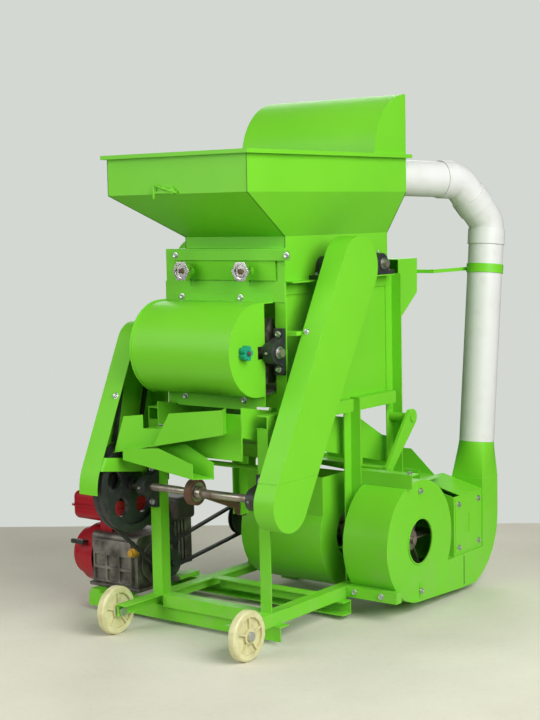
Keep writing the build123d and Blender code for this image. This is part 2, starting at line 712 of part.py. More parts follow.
# White pipe path, from the lift duct to the hopper
riser_line = Vector(*PIPE_CORNER) - Vector(*PIPE_FOOT)
stub_line = Vector(*PIPE_INLET) - Vector(*PIPE_CORNER)
riser_top = Vector(*PIPE_CORNER) - riser_line.normalized() * PIPE_CUT
stub_start = Vector(*PIPE_CORNER) + stub_line.normalized() * PIPE_CUT
pipe_path = FilletPolyline(PIPE_FOOT, riser_top, stub_start, PIPE_INLET, radius=PIPE_BEND)
pipe_start = Plane(origin=PIPE_FOOT, z_dir=riser_line)
pipe_ring = pipe_start * (Circle(PIPE_R) - Circle(PIPE_R - PIPE_WALL))
white_pipe = sweep(pipe_ring, path=pipe_path)
sleeve = extrude(Circle(PIPE_R + SLEEVE) - Circle(PIPE_R - PIPE_WALL / 2), amount=SLEEVE_LONG / 2, both=True)
slant_line = stub_start - riser_top
sleeve_places = (
    (riser_top - riser_line.normalized() * SLEEVE_LONG, riser_line),
    ((riser_top + stub_start) * 0.5, slant_line),
    (stub_start + stub_line.normalized() * SLEEVE_LONG, stub_line),
)
for centre, line in sleeve_places:
    white_pipe += Plane(origin=centre, z_dir=line) * sleeve
parts["white_pipe"] = white_pipe

# Hopper
neck_rect = (INNER, NECK_FRONT, NECK_REAR)
band_rect = (HOPPER_HALF, HOPPER_FRONT, HOPPER_REAR)
lip_rect = inset(band_rect, -LIP)
hopper = shell_loft(NECK_TOP, neck_rect, BAND_BOTTOM, band_rect)
hopper += shell_loft(BAND_BOTTOM, band_rect, RIM_TOP, band_rect)
hopper += shell_loft(RIM_TOP - LIP_HEIGHT, lip_rect, RIM_TOP, lip_rect)
hopper -= shell_loft(NECK_TOP, inset(neck_rect, SHEET), BAND_BOTTOM, inset(band_rect, SHEET))
hopper -= shell_loft(BAND_BOTTOM, inset(band_rect, SHEET), RIM_TOP, inset(band_rect, SHEET))
latch_face = HOPPER_FRONT - SHEET
hopper += block(about(LATCH_X, LATCH_PLATE[0]), (latch_face, HOPPER_FRONT), about(LATCH_Z, LATCH_PLATE[1]))
bar_z = (LATCH_Z - LATCH_PLATE[1] / 2, LATCH_Z - LATCH_PLATE[1] / 2 + LATCH_BAR[1])
hopper += block(about(LATCH_X, LATCH_BAR[0]), (latch_face - LATCH_BAR[1], latch_face), bar_z)
latch_nut = Pos(LATCH_X, LATCH_Z + LATCH_NUT_R / 2) * RegularPolygon(LATCH_NUT_R, 6)
hopper += along_y(latch_nut, (latch_face - BOLT_HEAD, latch_face))
stub_hole = Plane(origin=PIPE_INLET, z_dir=stub_line) * Cylinder(PIPE_R + CLEAR, 3 * PIPE_R)
parts["hopper"] = hopper - stub_hole


def hood_outline(take_in):
    """Side view of the hood, taken in by a sheet thickness where wanted."""
    front = (HOOD_FRONT + take_in, RIM_TOP)
    top = (HOPPER_REAR - take_in, HOOD_TOP - take_in)
    curve = ThreePointArc(front, (HOOD_MID[0] + take_in, HOOD_MID[1] - take_in), top)
    return make_face(curve + Polyline(top, (HOPPER_REAR - take_in, RIM_TOP), front))


# Hood
hood = slab(hood_outline(0), (-HOPPER_HALF, HOPPER_HALF))
hood -= slab(hood_outline(THIN), (THIN - HOPPER_HALF, HOPPER_HALF - THIN))
parts["hopper_hood"] = hood

# Front plate and feed gate
plate = block(PLATE_X, (UPPER_Y - SHEET, UPPER_Y), PLATE_Z)
plate += block(STRIP_X, (UPPER_Y - SHEET - STRIP_DEEP, UPPER_Y - SHEET), STRIP_Z)
gate_y = (UPPER_Y + CLEAR, UPPER_Y + CLEAR + SHEET)
gate = block((-GATE_HALF, GATE_HALF), gate_y, GATE_Z)
stud_front = UPPER_Y - STUD_LENGTH
collar_y = (UPPER_Y - SHEET - CLEAR - STUD_COLLAR, UPPER_Y - SHEET - CLEAR)
nut_y = (stud_front, stud_front + NUT_LONG)
slot_z = (STUD_Z - GATE_TRAVEL - STUD_R - CLEAR, STUD_Z + STUD_R + CLEAR)
nuts = []
for x in STUD_X:
    plate -= block(about(x, 2 * (STUD_R + CLEAR)), (UPPER_Y - FLANGE, UPPER_Y + OVER), slot_z)
    place = Pos(x, STUD_Z)
    gate += along_y(place * Circle(STUD_R), (stud_front, gate_y[1]))
    gate += along_y(place * Circle(STUD_COLLAR_R), collar_y)
    nut = along_y(place * (RegularPolygon(NUT_R, 6) - Circle(STUD_R + RUN)), nut_y)
    nuts.append(nut - along_y(place * Circle(NUT_RECESS_R), (nut_y[0] - OVER, nut_y[0] + NUT_RECESS)))
parts["front_plate"] = plate
parts["feed_gate"] = gate
parts["hand_nut_left"] = nuts[0]
parts["hand_nut_right"] = nuts[1]


def cover_outline(take_in, rear):
    """Side view of the front drum cover, taken in by a sheet thickness where wanted."""
    radius = COVER_R - take_in
    level = about(COVER_Z, 2 * radius)
    nose = Pos(COVER_Y, COVER_Z) * Circle(radius) & upright((COVER_Y - radius, COVER_Y), level)
    return nose + upright((COVER_Y, rear), level)


# Front drum cover with its end plates, top flange, left end ring, and a foot that reaches lower in its middle
cover_x = (-COVER_HALF, COVER_HALF)
cover_top = COVER_Z + COVER_R
cover_low = COVER_Z - COVER_R
cover = slab(cover_outline(0, COVER_END), cover_x)
cover -= slab(cover_outline(SHEET, COVER_END + OVER), (SHEET - COVER_HALF, COVER_HALF - SHEET))
cover += block(cover_x, (COVER_Y, UPPER_Y - SHEET), (cover_top - SHEET, cover_top))
cover += block(cover_x, (UPPER_Y - 2 * SHEET, UPPER_Y - SHEET), (cover_top - SHEET, cover_top + COVER_FLANGE))
cover += block(cover_x, (COVER_END - SHEET, COVER_END), (cover_low - COVER_FOOT, cover_low + SHEET))
tongue_x = (COVER_ROOM - SIEVE_HALF, SIEVE_HALF - COVER_ROOM)
tongue_z = (cover_low - COVER_FOOT - COVER_TONGUE, cover_low)
cover += block(tongue_x, (COVER_END - SHEET, COVER_END), tongue_z)
end_ring = cover_outline(-COVER_RING, COVER_END) - cover_outline(SHEET, COVER_END + OVER)
cover += slab(end_ring, (-COVER_HALF - SHEET, -COVER_HALF))
notch_z = (FRONT_SHAFT_Z - NOTCH_HALF, FRONT_SHAFT_Z + NOTCH_HALF)
cover -= block((-COVER_HALF - OVER, COVER_HALF + OVER), (NOTCH_Y, UPPER_Y), notch_z)
knob_axis = (KNOB_Y, KNOB_Z)
knob_x = (COVER_HALF + OVER, COVER_HALF + OVER + KNOB_LONG)
cover += disc(knob_axis, KNOB_STUD_R, (COVER_HALF, knob_x[1]))
parts["drum_cover"] = cover
knob_outline = Circle(KNOB_R - KNOB_LOBE_R)
for index in range(KNOB_LOBES):
    knob_outline += Rot(0, 0, 360 * index / KNOB_LOBES) * Pos(KNOB_R - KNOB_LOBE_R, 0) * Circle(KNOB_LOBE_R)
parts["star_knob"] = slab(Pos(*knob_axis) * (knob_outline - Circle(KNOB_STUD_R + RUN)), knob_x)

# Drums, their shafts and pulleys
parts["upper_drum"] = drum(UPPER_AXIS, UPPER_DRUM_R, UPPER_SHAFT_X)
parts["rear_drum"] = drum(REAR_AXIS, REAR_DRUM_R, REAR_SHAFT_X)
parts["front_drum"] = drum(FRONT_AXIS, FRONT_DRUM_R, FRONT_SHAFT_X)
parts["upper_drum_pulleys"] = group(
    pulley(RIGHT_BELT_X, UPPER_AXIS, RIGHT_HIGH_R, SHAFT_R),
    pulley(REAR_BELT_X, UPPER_AXIS, REAR_PAIR_R, SHAFT_R),
)
parts["rear_drum_pulley"] = pulley(REAR_BELT_X, REAR_AXIS, REAR_PAIR_R, SHAFT_R)
parts["front_drum_pulley"] = pulley(LEFT_BELT_X, FRONT_AXIS, LEFT_HIGH_R, SHAFT_R)
parts["concaves"] = group(
    concave(UPPER_AXIS, UPPER_DRUM_R, INNER - SHEET),
    concave(REAR_AXIS, REAR_DRUM_R, INNER - SHEET),
    concave(FRONT_AXIS, FRONT_DRUM_R, COVER_HALF - SHEET),
)

# Counter shaft with its eccentric and pulleys
counter = disc(COUNTER_AXIS, SHAFT_R, COUNTER_X)
counter += disc(ECC_AXIS, ECC_R, ECC_X)
counter += disc(COUNTER_AXIS, COLLAR_R, COLLAR_X)
parts["counter_shaft"] = counter
big = disc(COUNTER_AXIS, BIG_R, about(BIG_X, BIG_WIDE)) - groove(BIG_X, COUNTER_AXIS, BIG_R)
pocket = Pos(*COUNTER_AXIS) * (Circle(BIG_R - BIG_RIM) - Circle(PULLEY_HUB_R))
for side in (-1, 1):
    inner_face = BIG_X + side * BIG_WEB / 2
    outer_face = BIG_X + side * BIG_WIDE
    big -= slab(pocket, (min(inner_face, outer_face), max(inner_face, outer_face)))
for index in range(BIG_HOLES):
    hole = Rot(0, 0, 90 + 360 * index / BIG_HOLES) * Pos(BIG_HOLE_AT, 0) * Circle(BIG_HOLE_R)
    big -= slab(Pos(*COUNTER_AXIS) * hole, about(BIG_X, 2 * BIG_WIDE))
big -= disc(COUNTER_AXIS, SHAFT_R, about(BIG_X, 2 * BIG_WIDE))
parts["counter_pulleys"] = group(
    big,
    pulley(RIGHT_BELT_X, COUNTER_AXIS, RIGHT_LOW_R, SHAFT_R),
    pulley(LEFT_BELT_X, COUNTER_AXIS, LEFT_LOW_R, SHAFT_R),
)

# Connecting rod from the eccentric to the sieve
rod_x = about(sum(ECC_X) / 2, ROD_WIDTH)
rod = bar_between(ECC_AXIS, ROD_EYE, ROD_BAR, rod_x)
rod += disc(ECC_AXIS, ROD_EYE_R, rod_x) + disc(ROD_EYE, ROD_END_R, rod_x)
rod -= disc(ECC_AXIS, ECC_R + RUN, about(rod_x[0], 4 * ROD_WIDTH))
parts["connecting_rod"] = rod - disc(ROD_EYE, ROD_END_BORE, about(rod_x[0], 4 * ROD_WIDTH))

# Pillow blocks
standing = [(UPPER_SHAFT_Y, LEDGE_TOP), (REAR_SHAFT_Y, LEDGE_TOP), (FAN_Y, BEARER_TOP)]
facing = [(UPPER_Y, FRONT_SHAFT_Z), (FRONT_Y, COUNTER_Z)]
seats = [Pos(BLOCK_X, y, z) for y, z in standing]
seats += [Pos(BLOCK_X, y, z) * Rot(90, 0, 0) for y, z in facing]
parts["pillow_blocks"] = group(*both_sides(*[seat * pillow_block() for seat in seats]))
bolts = [seat * one for seat in seats for one in block_bolts()]
bolts = both_sides(*bolts)

# Fan shaft, fan wheels and fan pulley
parts["fan_shaft"] = disc(FAN_AXIS, SHAFT_R, FAN_SHAFT_X)
parts["fan_wheels"] = group(
    fan_wheel(WINNOWER_FAN_X, WINNOWER_FAN_R), fan_wheel(BLOWER_FAN_X, BLOWER_FAN_R)
)
parts["fan_pulley"] = pulley(FAN_BELT_X, FAN_AXIS, FAN_PULLEY_R, SHAFT_R)


def winnower_outline(take_in):
    """Side view of the winnower: a round casing with a duct up to the sieve."""
    duct = upright((DUCT_Y[0] + take_in, DUCT_Y[1] - take_in), (FAN_Z, DUCT_TOP))
    return Pos(*FAN_AXIS) * Circle(WINNOWER_R - take_in) + duct


# Winnower casing, hung between the bearers
winnower = slab(winnower_outline(0), WINNOWER_X)
winnower -= slab(winnower_outline(SHEET), (WINNOWER_X[0] + SHEET, WINNOWER_X[1] - SHEET))
winnower -= disc(FAN_AXIS, WINNOWER_EYE_R, (-FRAME_HALF, FRAME_HALF))
ear_z = (BEARER_TOP - IRON, BEARER_TOP)
for ear_x in ((-INNER - IRON, WINNOWER_X[0] + SHEET), (WINNOWER_X[1] - SHEET, INNER + IRON)):
    winnower += block(ear_x, (MID_REAR, MID_REAR + EAR_LONG), ear_z)
parts["winnower_casing"] = winnower


def blower_outline(take_in):
    """Side view of the blower: a round casing with an outlet to the rear."""
    outlet = outline((
        (FAN_Y, FAN_Z - BLOWER_R + take_in),
        (BLOWER_OUT_Y, BLOWER_OUT_Z[0] + take_in),
        (BLOWER_OUT_Y, BLOWER_OUT_Z[1] - take_in),
        (FAN_Y, BLOWER_OUT_Z[1] - take_in),
    ))
    return Pos(*FAN_AXIS) * Circle(BLOWER_R - take_in) + outlet


# Blower casing and its bars
blower = slab(blower_outline(0), BLOWER_X)
blower -= slab(blower_outline(SHEET), (BLOWER_X[0] + SHEET, BLOWER_X[1] - SHEET))
blower -= disc(FAN_AXIS, BLOWER_EYE_R, (BLOWER_FAN_X[1], BLOWER_X[1] + OVER))
blower -= disc(FAN_AXIS, SHAFT_HOLE_R, (BLOWER_X[0] - OVER, BLOWER_FAN_X[0]))
blower += block((BLOWER_X[0], LIFT_X[0]), (BLOWER_OUT_Y - SHEET, BLOWER_OUT_Y), BLOWER_OUT_Z)
clip_face = BLOWER_X[1] + THIN
for side in (-1, 1):
    clip_z = FAN_Z + side * (BLOWER_R - CLIP_IN - CLIP[1] / 2)
    blower += block((BLOWER_X[1], clip_face), about(FAN_Y, CLIP[0]), about(clip_z, CLIP[1]))
    bolts.append(right_bolt(clip_face, FAN_Y, clip_z))
parts["blower_casing"] = blower
casing_room = disc(FAN_AXIS, BLOWER_R, (INNER, BAR_X + OVER))
upper_bar = block((INNER, BAR_X), (MID_REAR, MID_REAR + IRON), BAR_Z)
upper_bar += block((INNER, BAR_X), (MID_REAR, MID_REAR + FLANGE), (BAR_Z[1] - IRON, BAR_Z[1]))
foot_bar = block((FRAME_HALF, BAR_X), FOOT_BAR_Y, FOOT_BAR_Z)
parts["blower_bars"] = group(upper_bar - casing_room, foot_bar - casing_room)
bolts.append(Pos(BAR_X - FLANGE / 2, MID_REAR + FLANGE / 2, BAR_Z[1]) * bolt())
bolts += [front_bolt(x, FOOT_BAR_Y[0], sum(FOOT_BAR_Z) / 2) for x in FOOT_BAR_BOLTS]

# Feed box with its sloping top, its hatch and its lid
box_points = (
    (BOX_X[0], BLOWER_OUT_Z[1]),
    (BOX_X[1], BLOWER_OUT_Z[1]),
    (BOX_X[1], BOX_TOP[1]),
    (BOX_X[0], BOX_TOP[0]),
)
box_hollow = (
    (BOX_X[0] + SHEET, BLOWER_OUT_Z[1] - OVER),
    (BOX_X[1] - SHEET, BLOWER_OUT_Z[1] - OVER),
    (BOX_X[1] - SHEET, BOX_TOP[0] + OVER),
    (BOX_X[0] + SHEET, BOX_TOP[0] + OVER),
)
box_floor = (BLOWER_OUT_Z[1], BLOWER_OUT_Z[1] + SHEET)
feed_box = along_y(outline(box_points), BOX_Y)
feed_box -= along_y(outline(box_hollow), (BOX_Y[0] + SHEET, BOX_Y[1] - SHEET))
feed_box += block((BOX_X[0], LIFT_X[0]), (BLOWER_OUT_Y, BOX_Y[1]), box_floor)
hatch_face = BOX_X[1] + THIN
hatch_y = (BOX_Y[0] + HATCH_EDGE, BOX_Y[1] - HATCH_EDGE)
hatch_z = (BLOWER_OUT_Z[1] + HATCH_EDGE, BOX_TOP[1] - HATCH_EDGE)
hatch = block((BOX_X[1], hatch_face), hatch_y, hatch_z)
hatch_slot = (about(sum(hatch_y) / 2, HATCH_SLOT[0]), about(sum(hatch_z) / 2, HATCH_SLOT[1]))
feed_box += hatch - block((BOX_X[1], hatch_face + OVER), *hatch_slot)
for y in (hatch_y[0] + 2 * HATCH_EDGE, hatch_y[1] - 2 * HATCH_EDGE):
    for z in (hatch_z[0] + 2 * HATCH_EDGE, hatch_z[1] - 2 * HATCH_EDGE):
        bolts.append(right_bolt(hatch_face, y, z))
parts["feed_box"] = feed_box
lid_fall = (BOX_TOP[1] - BOX_TOP[0]) / (BOX_X[1] - BOX_X[0])
lid_high = BOX_TOP[0] + (LID_FROM - BOX_X[0]) * lid_fall
lid_z = (lid_high + SHEET, BOX_TOP[1] + SHEET)
parts["feed_box_lid"] = slope_plate((LID_FROM, BOX_X[1]), lid_z, (LID_FRONT, BOX_Y[1]), SHEET)


def lift_outline(take_in):
    """Side view of the lift duct: from the blower outlet round and up."""
    back = LIFT_CENTRE[0] + LIFT_R - take_in
    bend = Pos(*LIFT_CENTRE) * Circle(LIFT_R - take_in)
    bend &= upright((BLOWER_OUT_Y, back), (BLOWER_OUT_Z[0] + take_in, LIFT_CENTRE[1]))
    bend -= upright((BLOWER_OUT_Y, BOX_Y[1] + take_in), (BLOWER_OUT_Z[1] - take_in, LIFT_CENTRE[1]))
    return bend + upright((BOX_Y[1] + take_in, back), (LIFT_CENTRE[1], LIFT_TOP))


# Lift duct with its cone up to the pipe
lift = slab(lift_outline(0), LIFT_X)
lift -= slab(lift_outline(SHEET), (LIFT_X[0] + SHEET, LIFT_X[1] - SHEET))
lift -= block(
    (LIFT_X[0] + SHEET, BOX_X[1] - SHEET),
    (BLOWER_OUT_Y + SHEET, BOX_Y[1] - SHEET),
    (BLOWER_OUT_Z[1] - 2 * SHEET, BLOWER_OUT_Z[1] + OVER),
)
cone_y = (BOX_Y[1], LIFT_CENTRE[0] + LIFT_R)
cone_base = Pos(sum(LIFT_X) / 2, sum(cone_y) / 2, LIFT_TOP)
cone_size = (LIFT_X[1] - LIFT_X[0], cone_y[1] - cone_y[0])
cone = loft([cone_base * Rectangle(*cone_size), pipe_start * Circle(PIPE_R)])
cone -= loft([
    cone_base * Rectangle(cone_size[0] - 2 * SHEET, cone_size[1] - 2 * SHEET),
    pipe_start * Circle(PIPE_R - SHEET),
])
parts["lift_duct"] = group(lift, cone)

# Return chute behind the sieve tail
chute = slope_plate(RETURN_X, RETURN_FLOOR, RETURN_Y, THIN)
chute_front = (
    (RETURN_X[0], RETURN_FLOOR[0] - THIN),
    (RETURN_X[0], RETURN_FRONT_TOP),
    (RETURN_X[1], RETURN_FRONT_TOP),
    (RETURN_X[1], RETURN_FLOOR[1] - THIN),
)
chute += along_y(outline(chute_front), (RETURN_Y[0], RETURN_Y[0] + THIN))
chute_back = (
    (RETURN_X[0], RETURN_FLOOR[0] - THIN),
    (RETURN_X[0], RETURN_BACK_TOP),
    (RETURN_BACK_X[0], RETURN_BACK_TOP),
    (RETURN_BACK_X[1], RETURN_FLOOR[1]),
    (RETURN_X[1], RETURN_FLOOR[1] - THIN),
)
chute += along_y(outline(chute_back), (RETURN_Y[1] - THIN, RETURN_Y[1]))
chute += block((RETURN_X[0], RETURN_X[0] + THIN), RETURN_Y, (RETURN_FLOOR[0] - THIN, RETURN_FRONT_TOP))
parts["return_chute"] = chute

# Strap that ties the pipe to the rear spout
strap_share = (STRAP_Z - PIPE_FOOT[2]) / riser_line.Z
strap_centre = Vector(*PIPE_FOOT) + riser_line * strap_share
strap_plane = Plane(origin=strap_centre, z_dir=riser_line)
strap_ring = Circle(PIPE_R + CLEAR + SHEET) - Circle(PIPE_R + CLEAR)
strap = strap_plane * extrude(strap_ring, amount=STRAP_HIGH / 2, both=True)
spout_back = SPOUT_OUT[0][0]
strap_reach = strap_centre.X - PIPE_R - CLEAR
strap_x = (SPOUT_HALF - 2 * STRAP_BAR, strap_reach)
strap += block((strap_reach - SHEET, strap_reach), (spout_back, strap_centre.Y), about(STRAP_Z, STRAP_BAR))
strap += block(strap_x, (spout_back, spout_back + STRAP_BAR), about(STRAP_Z, STRAP_BAR))
parts["pipe_strap"] = strap

# Rear spout, open below and to the body
spout_points = ((REAR_Y, SPOUT_OUT[0][1]), *SPOUT_OUT, (REAR_Y, SPOUT_OUT[2][1]))
spout_inner = (
    (REAR_Y - OVER, SPOUT_OUT[0][1] - THIN),
    (SPOUT_OUT[0][0] - THIN, SPOUT_OUT[0][1] - THIN),
    (SPOUT_OUT[1][0] - THIN, SPOUT_OUT[1][1] - OVER),
    (SPOUT_OUT[2][0], SPOUT_OUT[2][1] - 2 * OVER),
    (REAR_Y - OVER, SPOUT_OUT[2][1] - 2 * OVER),
)
spout = slab(outline(spout_points), (-SPOUT_HALF, SPOUT_HALF))
spout -= slab(outline(spout_inner), (THIN - SPOUT_HALF, SPOUT_HALF - THIN))
parts["rear_spout"] = spout

# Belt guards and their straps
parts["right_guard"] = guard(
    COUNTER_AXIS, RIGHT_GUARD_R[0], UPPER_AXIS, RIGHT_GUARD_R[1],
    RIGHT_GUARD_X, (RIGHT_GUARD_X[0] - OVER, RIGHT_GUARD_X[1] - GUARD_SHEET),
)
left_guard = guard(
    COUNTER_AXIS, LEFT_GUARD_R[0], FRONT_AXIS, LEFT_GUARD_R[1],
    LEFT_GUARD_X, (LEFT_GUARD_X[0] + GUARD_SHEET, LEFT_GUARD_X[1] + OVER),
)
left_cut = block(
    (LEFT_GUARD_X[0] - OVER, LEFT_GUARD_X[1] + OVER),
    about(COUNTER_Y, 4 * LEFT_GUARD_R[0]),
    (COUNTER_Z - 2 * LEFT_GUARD_R[0], LEFT_GUARD_CUT),
)
parts["left_guard"] = left_guard - left_cut
parts["rear_belt_guard"] = guard(
    UPPER_AXIS, REAR_GUARD_R, REAR_AXIS, REAR_GUARD_R,
    REAR_GUARD_X, (REAR_GUARD_X[0] + GUARD_SHEET, REAR_GUARD_X[1] + OVER),
)
right_strap = block((BLOCK_X, RIGHT_GUARD_X[0]), (UPPER_Y + IRON, RIGHT_STRAP_REAR), RIGHT_STRAP_Z)
left_strap = block((LEFT_GUARD_X[1], -BLOCK_X), (UPPER_Y - LEFT_STRAP_DEEP, UPPER_Y), LEFT_STRAP_Z)
ledge_under = LEDGE_TOP - IRON
rear_drop = (UPPER_SHAFT_Z - REAR_GUARD_R, ledge_under)
rear_strap = block((REAR_GUARD_X[1], -BLOCK_X), REAR_STRAP_Y, (ledge_under - IRON, ledge_under))
rear_strap += block((REAR_GUARD_X[1], REAR_GUARD_X[1] + IRON), REAR_STRAP_Y, rear_drop)
parts["guard_straps"] = group(right_strap, left_strap, rear_strap)
right_band = (COUNTER_AXIS, RIGHT_GUARD_R[0], UPPER_AXIS, RIGHT_GUARD_R[1])
left_band = (COUNTER_AXIS, LEFT_GUARD_R[0], FRONT_AXIS, LEFT_GUARD_R[1])
bolts.append(band_bolt(*right_band, RIGHT_BAND_BOLT, RIGHT_GUARD_X[0] + BAND_BOLT_IN))
bolts.append(band_bolt(*left_band, LEFT_BAND_BOLT, LEFT_GUARD_X[1] - BAND_BOLT_IN))

# Sieve box: two sides, an apron and ears for the hanger rods
side_under = [(y, deck_z(y) - SIDE_UNDER) for y in (DECK_REAR[0], DECK_FRONT[0])]
sieve_side = slab(outline((*SIDE_TOP, *side_under)), (SIEVE_HALF - SHEET, SIEVE_HALF))
for y, z in (HANGER_REAR, HANGER_FRONT):
    ear = block((SIEVE_HALF - SHEET, SIEVE_HALF), about(y, 2 * EAR_HALF), (z - EAR_HALF, deck_z(y)))
    sieve_side += ear - disc((y, z), HANGER_ROD_R + RUN, (0, FRAME_HALF))
sieve = sieve_side + flipped(sieve_side)
apron_y = (TROUGH_BACK, DECK_FRONT[0] + SHEET)
sieve += block((-SIEVE_HALF, SIEVE_HALF), apron_y, (APRON_BOTTOM, DECK_FRONT[1] - 2 * DECK_THICK))
apron_end_z = (DECK_FRONT[1] - 2 * DECK_THICK, APRON_TOP)
sieve += block((TROUGH_END[1], SIEVE_HALF), (TROUGH_BACK, DECK_FRONT[0] - OVER), apron_end_z)
drop_mid = sum(ECC_X) / 2
drop_top = deck_z(ROD_END[0]) - DECK_THICK
for side in (-1, 1):
    drop_x = about(drop_mid + side * DROP_GAP / 2, DROP_THICK)
    drop = block(drop_x, about(ROD_END[0], 2 * DROP_HALF), (ROD_END[1] - DROP_HALF, drop_top - SIDE_UNDER))
    sieve += drop
cross_z = (drop_top - SIDE_UNDER - FLANGE, drop_top - SIDE_UNDER)
sieve += block((-SIEVE_HALF, SIEVE_HALF), about(ROD_END[0], 2 * DROP_HALF), cross_z)
sieve += disc(ROD_END, ROD_PIN_R, about(drop_mid, DROP_GAP + 2 * DROP_THICK))
parts["sieve_box"] = sieve

# Sieve deck with its slots
deck_turn = degrees(atan2(DECK_REAR[1] - DECK_FRONT[1], DECK_REAR[0] - DECK_FRONT[0]))
deck_long = hypot(DECK_REAR[0] - DECK_FRONT[0], DECK_REAR[1] - DECK_FRONT[1])
deck_wide = 2 * (SIEVE_HALF - SHEET)
deck_plan = Rectangle(deck_wide, deck_long)
slot_pitch = (deck_wide / DECK_COLUMNS, deck_long / DECK_ROWS)
deck_slots = GridLocations(*slot_pitch, DECK_COLUMNS, DECK_ROWS) * Rectangle(*DECK_SLOT)
deck = extrude(deck_plan - deck_slots, amount=-DECK_THICK)
deck_middle = Pos(0, (DECK_FRONT[0] + DECK_REAR[0]) / 2, (DECK_FRONT[1] + DECK_REAR[1]) / 2)
parts["sieve_deck"] = deck_middle * Rot(deck_turn, 0, 0) * deck


def trough_back(x):
    """Place of the trough's slanting back wall."""
    share = (TROUGH_END[1] - x) / (TROUGH_END[1] - TROUGH_LEFT)
    return TROUGH_BACK + (TROUGH_FRONT + 2 * THIN - TROUGH_BACK) * share


def trough_end(y):
    """Place of the trough's slanting right end."""
    share = (y - TROUGH_FRONT) / (TROUGH_BACK - TROUGH_FRONT)
    return TROUGH_END[0] + (TROUGH_END[1] - TROUGH_END[0]) * share


# Kernel trough in front of the deck, open to the deck above its lip
inner_y = (TROUGH_FRONT + THIN, TROUGH_BACK - THIN)
inner_end = [(trough_end(y) - SHEET, y) for y in inner_y]
trough_plan = outline((
    (TROUGH_END[0], TROUGH_FRONT),
    (TROUGH_END[1], TROUGH_BACK),
    (TROUGH_LEFT, TROUGH_FRONT + 2 * THIN),
    (TROUGH_LEFT, TROUGH_FRONT),
))
trough_inner = outline((*inner_end, (TROUGH_LEFT, TROUGH_FRONT + THIN)))
trough_open = outline((
    *inner_end,
    (trough_end(TROUGH_BACK + OVER) - SHEET, TROUGH_BACK + OVER),
    (-SIEVE_HALF, TROUGH_BACK + OVER),
    (-SIEVE_HALF, TROUGH_FRONT + THIN),
))
trough_side = (
    (TROUGH_LEFT, TROUGH_FLOOR[0] - THIN),
    (TROUGH_END[0], TROUGH_FLOOR[1] - THIN),
    (TROUGH_END[0], TROUGH_TOP[1]),
    (TROUGH_LEFT + TROUGH_TIP, TROUGH_TOP[0]),
)
trough_tall = 2 * TROUGH_TOP[1]
trough_hollow = (
    (TROUGH_LEFT, TROUGH_FLOOR[0]),
    (TROUGH_END[0], TROUGH_FLOOR[1]),
    (TROUGH_END[0], trough_tall),
    (TROUGH_LEFT, trough_tall),
)
trough_y = (TROUGH_FRONT - OVER, TROUGH_BACK + OVER)
lip_top = DECK_FRONT[1] - 2 * DECK_THICK
trough = extrude(trough_plan, amount=trough_tall) & along_y(outline(trough_side), trough_y)
trough -= extrude(trough_inner, amount=trough_tall) & along_y(outline(trough_hollow), trough_y)
trough -= Pos(0, 0, lip_top) * extrude(trough_open, amount=trough_tall)
trough_fall = (TROUGH_FLOOR[1] - TROUGH_FLOOR[0]) / (TROUGH_END[0] - TROUGH_LEFT)
mouth_z = TROUGH_FLOOR[0] + (TROUGH_MOUTH - TROUGH_LEFT) * trough_fall
mouth = (
    (TROUGH_LEFT - OVER, TROUGH_FLOOR[0]),
    (TROUGH_MOUTH, mouth_z),
    (TROUGH_MOUTH + 2 * TROUGH_LEAN[0], mouth_z + 2 * TROUGH_LEAN[1]),
    (TROUGH_LEFT - OVER, mouth_z + 2 * TROUGH_LEAN[1]),
)
trough -= along_y(outline(mouth), (TROUGH_FRONT - OVER, TROUGH_FRONT + THIN))
lip_plan = outline((
    (TROUGH_END[1], TROUGH_BACK),
    (-SIEVE_HALF, TROUGH_BACK),
    (-SIEVE_HALF, trough_back(-SIEVE_HALF)),
))
trough += Pos(0, 0, lip_top - THIN) * extrude(lip_plan, amount=THIN)
parts["kernel_trough"] = trough

# Fines chute under the front of the deck, its front wall against the trough
fines_front = TROUGH_FRONT - THIN
fines_slope = (FINES_FLOOR[1] - FINES_FLOOR[0]) / (FINES_RIGHT[1] - FINES_LEFT)
fines_step = FINES_FLOOR[0] + (FINES_RIGHT[0] - FINES_LEFT) * fines_slope
fines_x = (FINES_LEFT, FINES_RIGHT[0])
front_wall = outline((
    (FINES_LEFT, FINES_FLOOR[0] - THIN),
    (FINES_RIGHT[0], fines_step - THIN),
    (FINES_RIGHT[0], FINES_END_TOP),
    (FINES_PEAK_X[0], FINES_PEAK[0]),
    (FINES_LEFT, FINES_LEFT_TOP[0]),
))
back_wall = outline((
    (FINES_LEFT, FINES_FLOOR[0] - THIN),
    (FINES_RIGHT[1], FINES_FLOOR[1] - THIN),
    (FINES_RIGHT[1], FINES_END_TOP),
    (FINES_PEAK_X[1], FINES_PEAK[1]),
    (FINES_LEFT, FINES_LEFT_TOP[1]),
))
fines = slope_plate(fines_x, (FINES_FLOOR[0], fines_step), (fines_front, FINES_BACK), THIN)
floor_end = outline((
    (FINES_RIGHT[0], fines_front),
    (FINES_RIGHT[1], FINES_BACK),
    (FINES_RIGHT[0], FINES_BACK),
))
end_plate = slope_plate(FINES_RIGHT, (fines_step, FINES_FLOOR[1]), (fines_front, FINES_BACK), THIN)
fines += end_plate & extrude(floor_end, amount=FINES_FLOOR[0])
fines += along_y(front_wall, (fines_front, TROUGH_FRONT))
fines += along_y(back_wall, (FINES_BACK - THIN, FINES_BACK))
left_z = (FINES_FLOOR[0] - THIN, FINES_LEFT_TOP[1])
fines += block((FINES_LEFT, FINES_LEFT + THIN), (fines_front, FINES_BACK), left_z)
parts["fines_chute"] = fines


